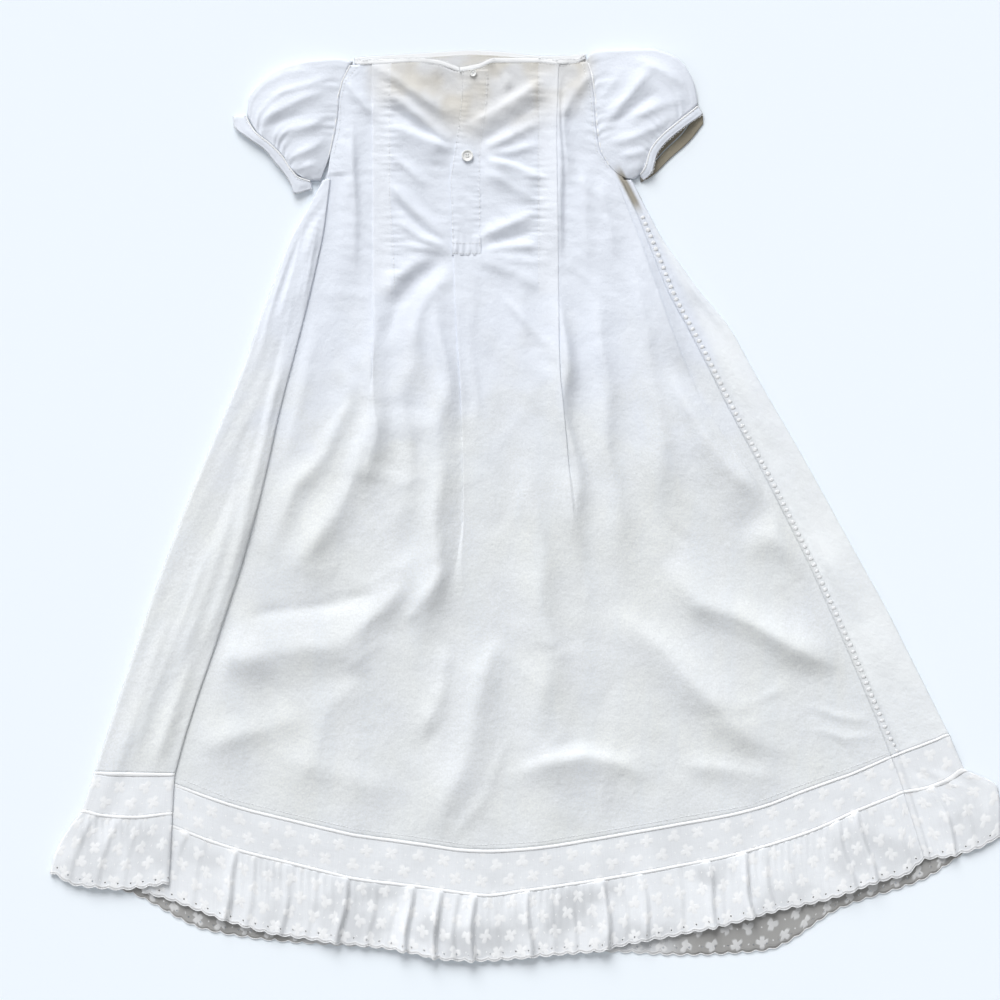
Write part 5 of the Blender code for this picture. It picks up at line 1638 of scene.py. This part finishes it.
def turned_button(name, at, radius, thickness):
    """A four-hole button with a rolled rim and a dished middle, resting on the placket."""
    graph = bpy.context.evaluated_depsgraph_get()
    tree = BVHTree.FromObject(MADE["placket_cloth"], graph)
    middle_x, middle_y = [(at[i] - MIDDLE[i]) * MM for i in range(2)]
    size, deep = radius * MM, thickness * MM

    def around(share, i, count, start=0.0):
        turn = start + 2 * math.pi * i / count
        return share * size * math.cos(turn), share * size * math.sin(turn)

    tops = []
    for i in range(12):
        dx, dy = around(0.7, i, 12)
        tops += cloth_tops([tree], middle_x + dx, middle_y + dy)
    floor = max(tops) + 0.1 * MM
    holes = [around(HOLE_PLACE, i, BUTTON_HOLES, math.pi / BUTTON_HOLES)
             for i in range(BUTTON_HOLES)]
    mesh = bpy.data.meshes.new(name)
    points = [(r * size, 0, z * deep) for r, z in BUTTON_PROFILE]
    mesh.from_pydata(points, [(i, i + 1) for i in range(len(points) - 1)], [])
    body = placed(name + "_blank", mesh)
    screw = body.modifiers.new("Turn", "SCREW")
    screw.steps = screw.render_steps = 64
    screw.use_merge_vertices = True
    screw.merge_threshold = 0.00001
    extras = [body]
    for dx, dy in holes:
        cutter = bpy.data.meshes.new(name + "_drill")
        bm = bmesh.new()
        bmesh.ops.create_cone(bm, cap_ends=True, segments=16, radius1=HOLE_RADIUS * size,
                              radius2=HOLE_RADIUS * size, depth=4 * deep)
        bmesh.ops.translate(bm, verts=bm.verts, vec=(dx, dy, 0))
        bm.to_mesh(cutter)
        bm.free()
        extras.append(placed(name + "_drill", cutter))
        bore = body.modifiers.new("Hole", "BOOLEAN")
        bore.object = extras[-1]
        bore.solver = "EXACT"
    graph = bpy.context.evaluated_depsgraph_get()
    made = bpy.data.meshes.new_from_object(body.evaluated_get(graph))
    for extra in extras:
        bpy.data.objects.remove(extra)
    bm = bmesh.new()
    bm.from_mesh(made)
    bmesh.ops.remove_doubles(bm, verts=bm.verts, dist=1e-7)
    bmesh.ops.recalc_face_normals(bm, faces=bm.faces)
    bmesh.ops.translate(bm, verts=bm.verts, vec=(middle_x, middle_y, floor))
    bm.to_mesh(made)
    bm.free()
    made.shade_smooth()
    made.set_sharp_from_angle(angle=math.radians(40))
    made.materials.clear()
    made.materials.append(finish_of("pearl"))
    piece = placed(name + "_pearl", made)
    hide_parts(name)
    stand(piece)
    top = floor + 0.66 * deep
    sunk = top - 0.5 * MM
    ends = [(middle_x + dx, middle_y + dy) for dx, dy in holes]
    return [[(*ends[a], sunk), (*ends[a], top), (*ends[b], top), (*ends[b], sunk)]
            for a, b in BUTTON_STITCHES]


class GOWN_OT_buttons(bpy.types.Operator):
    """Sews the two pearl buttons to the placket"""
    bl_idname = "gown.buttons"
    bl_label = "Buttons"

    def execute(self, context):
        lines = turned_button("button_middle", BUTTON_AT, BUTTON_RADIUS, 2.2)
        lines += turned_button("button_neck", NECK_BUTTON_AT, NECK_BUTTON_RADIUS, 1.6)
        recipe = cord_recipe(finish_of("thread"))
        piece = recipe.bake("button_threads", lines, {"Radius": 0.00028, "Step": 0.0004})
        stand(piece)
        return {"FINISHED"}


# Stitched lines on the gown: the pieces they are sewn through, and points of (x, y).
STITCHED = [
    (("back_cloth",), [(-108.5, 348), (-108.5, 250), (-105.5, 206), (-104, 171)]),
    (("back_cloth",), [(10.5, 348), (10.5, 250), (11, 176)]),
    (("back_cloth", "placket_cloth"), [(-49.5, 342), (-50.6, 322), (-52, 306), (-55.5, 282),
                                       (-59, 258), (-58, 232), (-57.5, 206)]),
    (("placket_cloth",), [(-30.2, 342), (-31.2, 321), (-33.2, 306), (-36.2, 282), (-36.8, 258),
                          (-36.3, 232), (-36.3, 206)]),
    (("placket_cloth",), [(-57, 207.5), (-36.5, 207.5)]),
    (("placket_cloth",), [(-57, 199.5), (-36.5, 199.5)]),
    (("back_cloth",), [(-134.5, 348), (-144, 336), (-147.5, 320), (-148, 300), (-152.5, 280)]),
    (("back_cloth",), [(46, 350), (50, 338), (53, 320), (54, 300), (57, 282), (66, 268)]),
]
ARMHOLES = [[(-138, 353), (-145.6, 338), (-150.4, 322), (-151, 306), (-155.6, 282), (-161, 264)],
            [(49.6, 354), (53.6, 342), (56.6, 322), (57.6, 300), (60.6, 282), (66.8, 270)]]
HEMSTITCHED = [[(-272, -221.5), (-235, -236.5), (-182, -249.5), (-134, -260.5), (-88, -266.5),
                (-42, -273.5), (11, -270.5), (60, -262.5), (111, -253.5), (178, -241.5),
                (220, -225.5), (262, -210.5), (292, -199)]]


# Sizes in metres of the ladder stitches of the side seam, and of the cords.
SEAM_STITCH = {"Pitch": 0.0054, "Length": 0.0036, "Thickness": 0.0042, "Height": 0.0006}
SLEEVE_CORD = 0.0007
CORD_STEP = 0.0011


class GOWN_OT_stitching(bpy.types.Operator):
    """Sews the tucks, placket, armholes, side seam and hem, and edges them with picots"""
    bl_idname = "gown.stitching"
    bl_label = "Stitching and edging"

    def execute(self, context):
        trim = context.scene.gown_trim
        stitches = stitch_recipe()
        given = {"Pitch": trim.stitch_pitch, "Length": trim.stitch_length,
                 "Thickness": trim.stitch_thickness, "Height": trim.stitch_thickness, "Seed": trim.seed}
        lines = [resting(pieces, path) for pieces, path in STITCHED]
        lines += [resting(("back_cloth",), path) for path in HEMSTITCHED]
        for label in ("cuff_seam_left", "cuff_seam_right", "neck_seam"):
            lines.append([(x, y, z + 0.0004) for x, y, z in EDGES[label]])
        stand(stitches.bake("hand_stitches", lines, given))
        given = {**SEAM_STITCH, "Seed": trim.seed + 1}
        lines = [resting(("front_cloth", "back_cloth"), SIDE_SEAM, above=0.04)]
        stand(stitches.bake("side_seam_stitches", lines, given))
        cord = cord_recipe(finish_of("cord"))
        for name in ("front", "back"):
            piece = cord.bake("scallop_edge_" + name, [EDGES["ruffle_" + name]],
                              {"Radius": trim.edge_cord, "Step": CORD_STEP})
            stand(piece)
        armholes = [resting(("back_cloth", "front_cloth"), path, 1.2, -0.3, 1.4)
                    for path in ARMHOLES]
        cuffs = [EDGES["cuff_start_left"].tolist(), EDGES["cuff_start_right"].tolist()]
        stand(cord.bake("sleeve_cords", armholes + cuffs, {"Radius": SLEEVE_CORD, "Step": CORD_STEP}))
        picots = picot_recipe()
        lines = [EDGES["neck"], EDGES["cuff_left"], EDGES["cuff_right"]] + armholes
        piece = picots.bake("picot_edges", lines, {"Pitch": trim.picot_pitch, "Loop": 0.0009,
                                                   "Thread": 0.00022, "Seed": trim.seed})
        stand(piece)
        return {"FINISHED"}


class GOWN_OT_stage(bpy.types.Operator):
    """Sets the pale surface, the soft lamps and the camera above the gown"""
    bl_idname = "gown.stage"
    bl_label = "Surface, lamps and camera"

    def execute(self, context):
        stage = context.scene.gown_stage
        mesh = bpy.data.meshes.new("surface")
        bm = bmesh.new()
        bmesh.ops.create_grid(bm, x_segments=8, y_segments=8, size=3.0)
        bmesh.ops.translate(bm, verts=bm.verts, vec=(0, 0, -0.0004))
        bm.to_mesh(mesh)
        bm.free()
        mesh.materials.append(finish_of("floor"))
        surface = placed("floor", mesh)

        def lamp(name, place, power, colour, size=0.0, softness=0.0):
            light = bpy.data.lights.new(name, "AREA" if size else "SUN")
            if size:
                light.shape, light.size = "DISK", size
            else:
                light.angle = softness
            light.energy, light.color = power, colour
            holder = placed(name, light)
            holder.location = place
            holder.rotation_euler = (-Vector(place)).to_track_quat("-Z", "Y").to_euler()

        lamp("key_lamp", (-1.7, 5.6, 4.0), stage.key, (0.985, 0.985, 0.985), softness=0.7)
        lamp("side_lamp", (-5.5, -0.6, 3.4), stage.side, (1.0, 0.99, 0.97), softness=0.5)
        lamp("fill_lamp", (0.3, 0.0, 6.0), stage.fill, (0.93, 0.97, 1.0), size=3.0)
        world = bpy.data.worlds.new("Even surround")
        world.use_nodes = True
        sky = world.node_tree.nodes["Background"]
        sky.inputs["Color"].default_value = (0.95, 0.94, 0.93, 1)
        sky.inputs["Strength"].default_value = stage.sky
        context.scene.world = world
        lens = bpy.data.cameras.new("camera")
        lens.sensor_width = 36.0
        lens.lens = 36.0 * stage.height / stage.span
        camera = placed("camera", lens)
        camera.location = (-0.020, 0.0038, stage.height)
        context.scene.camera = camera
        context.scene.view_settings.view_transform = "Standard"
        return {"FINISHED"}


class GOWN_PT_panel(bpy.types.Panel):
    """The gown's settings and its pieces, in the order that they are made"""
    bl_idname = "GOWN_PT_panel"
    bl_label = "Christening Gown"
    bl_space_type = "VIEW_3D"
    bl_region_type = "UI"
    bl_category = "Gown"

    def draw(self, context):
        for label, group in SETTINGS.items():
            box = self.layout.box()
            box.label(text=label)
            settings = getattr(context.scene, group[0])
            for name in group[1].__annotations__:
                box.prop(settings, name)
        column = self.layout.column()
        for operator in PIECES:
            column.operator(operator.bl_idname)


SETTINGS = {
    "Cloth": ("gown_cloth", GownClothSettings),
    "Trim": ("gown_trim", GownTrimSettings),
    "Finishes": ("gown_finish", GownFinishSettings),
    "Stage": ("gown_stage", GownStageSettings),
}
PIECES = (GOWN_OT_stage, GOWN_OT_panels, GOWN_OT_hem, GOWN_OT_ruffle, GOWN_OT_sleeves,
          GOWN_OT_placket, GOWN_OT_buttons, GOWN_OT_stitching)


def register():
    for name, group in SETTINGS.values():
        bpy.utils.register_class(group)
        setattr(bpy.types.Scene, name, PointerProperty(type=group))
    for operator in PIECES:
        bpy.utils.register_class(operator)
    bpy.utils.register_class(GOWN_PT_panel)


def unregister():
    bpy.utils.unregister_class(GOWN_PT_panel)
    for operator in reversed(PIECES):
        bpy.utils.unregister_class(operator)
    for name, group in SETTINGS.values():
        delattr(bpy.types.Scene, name)
        bpy.utils.unregister_class(group)


def main():
    register()
    for operator in PIECES:
        group, name = operator.bl_idname.split(".")
        getattr(getattr(bpy.ops, group), name)()


if __name__ == "__main__":
    main()
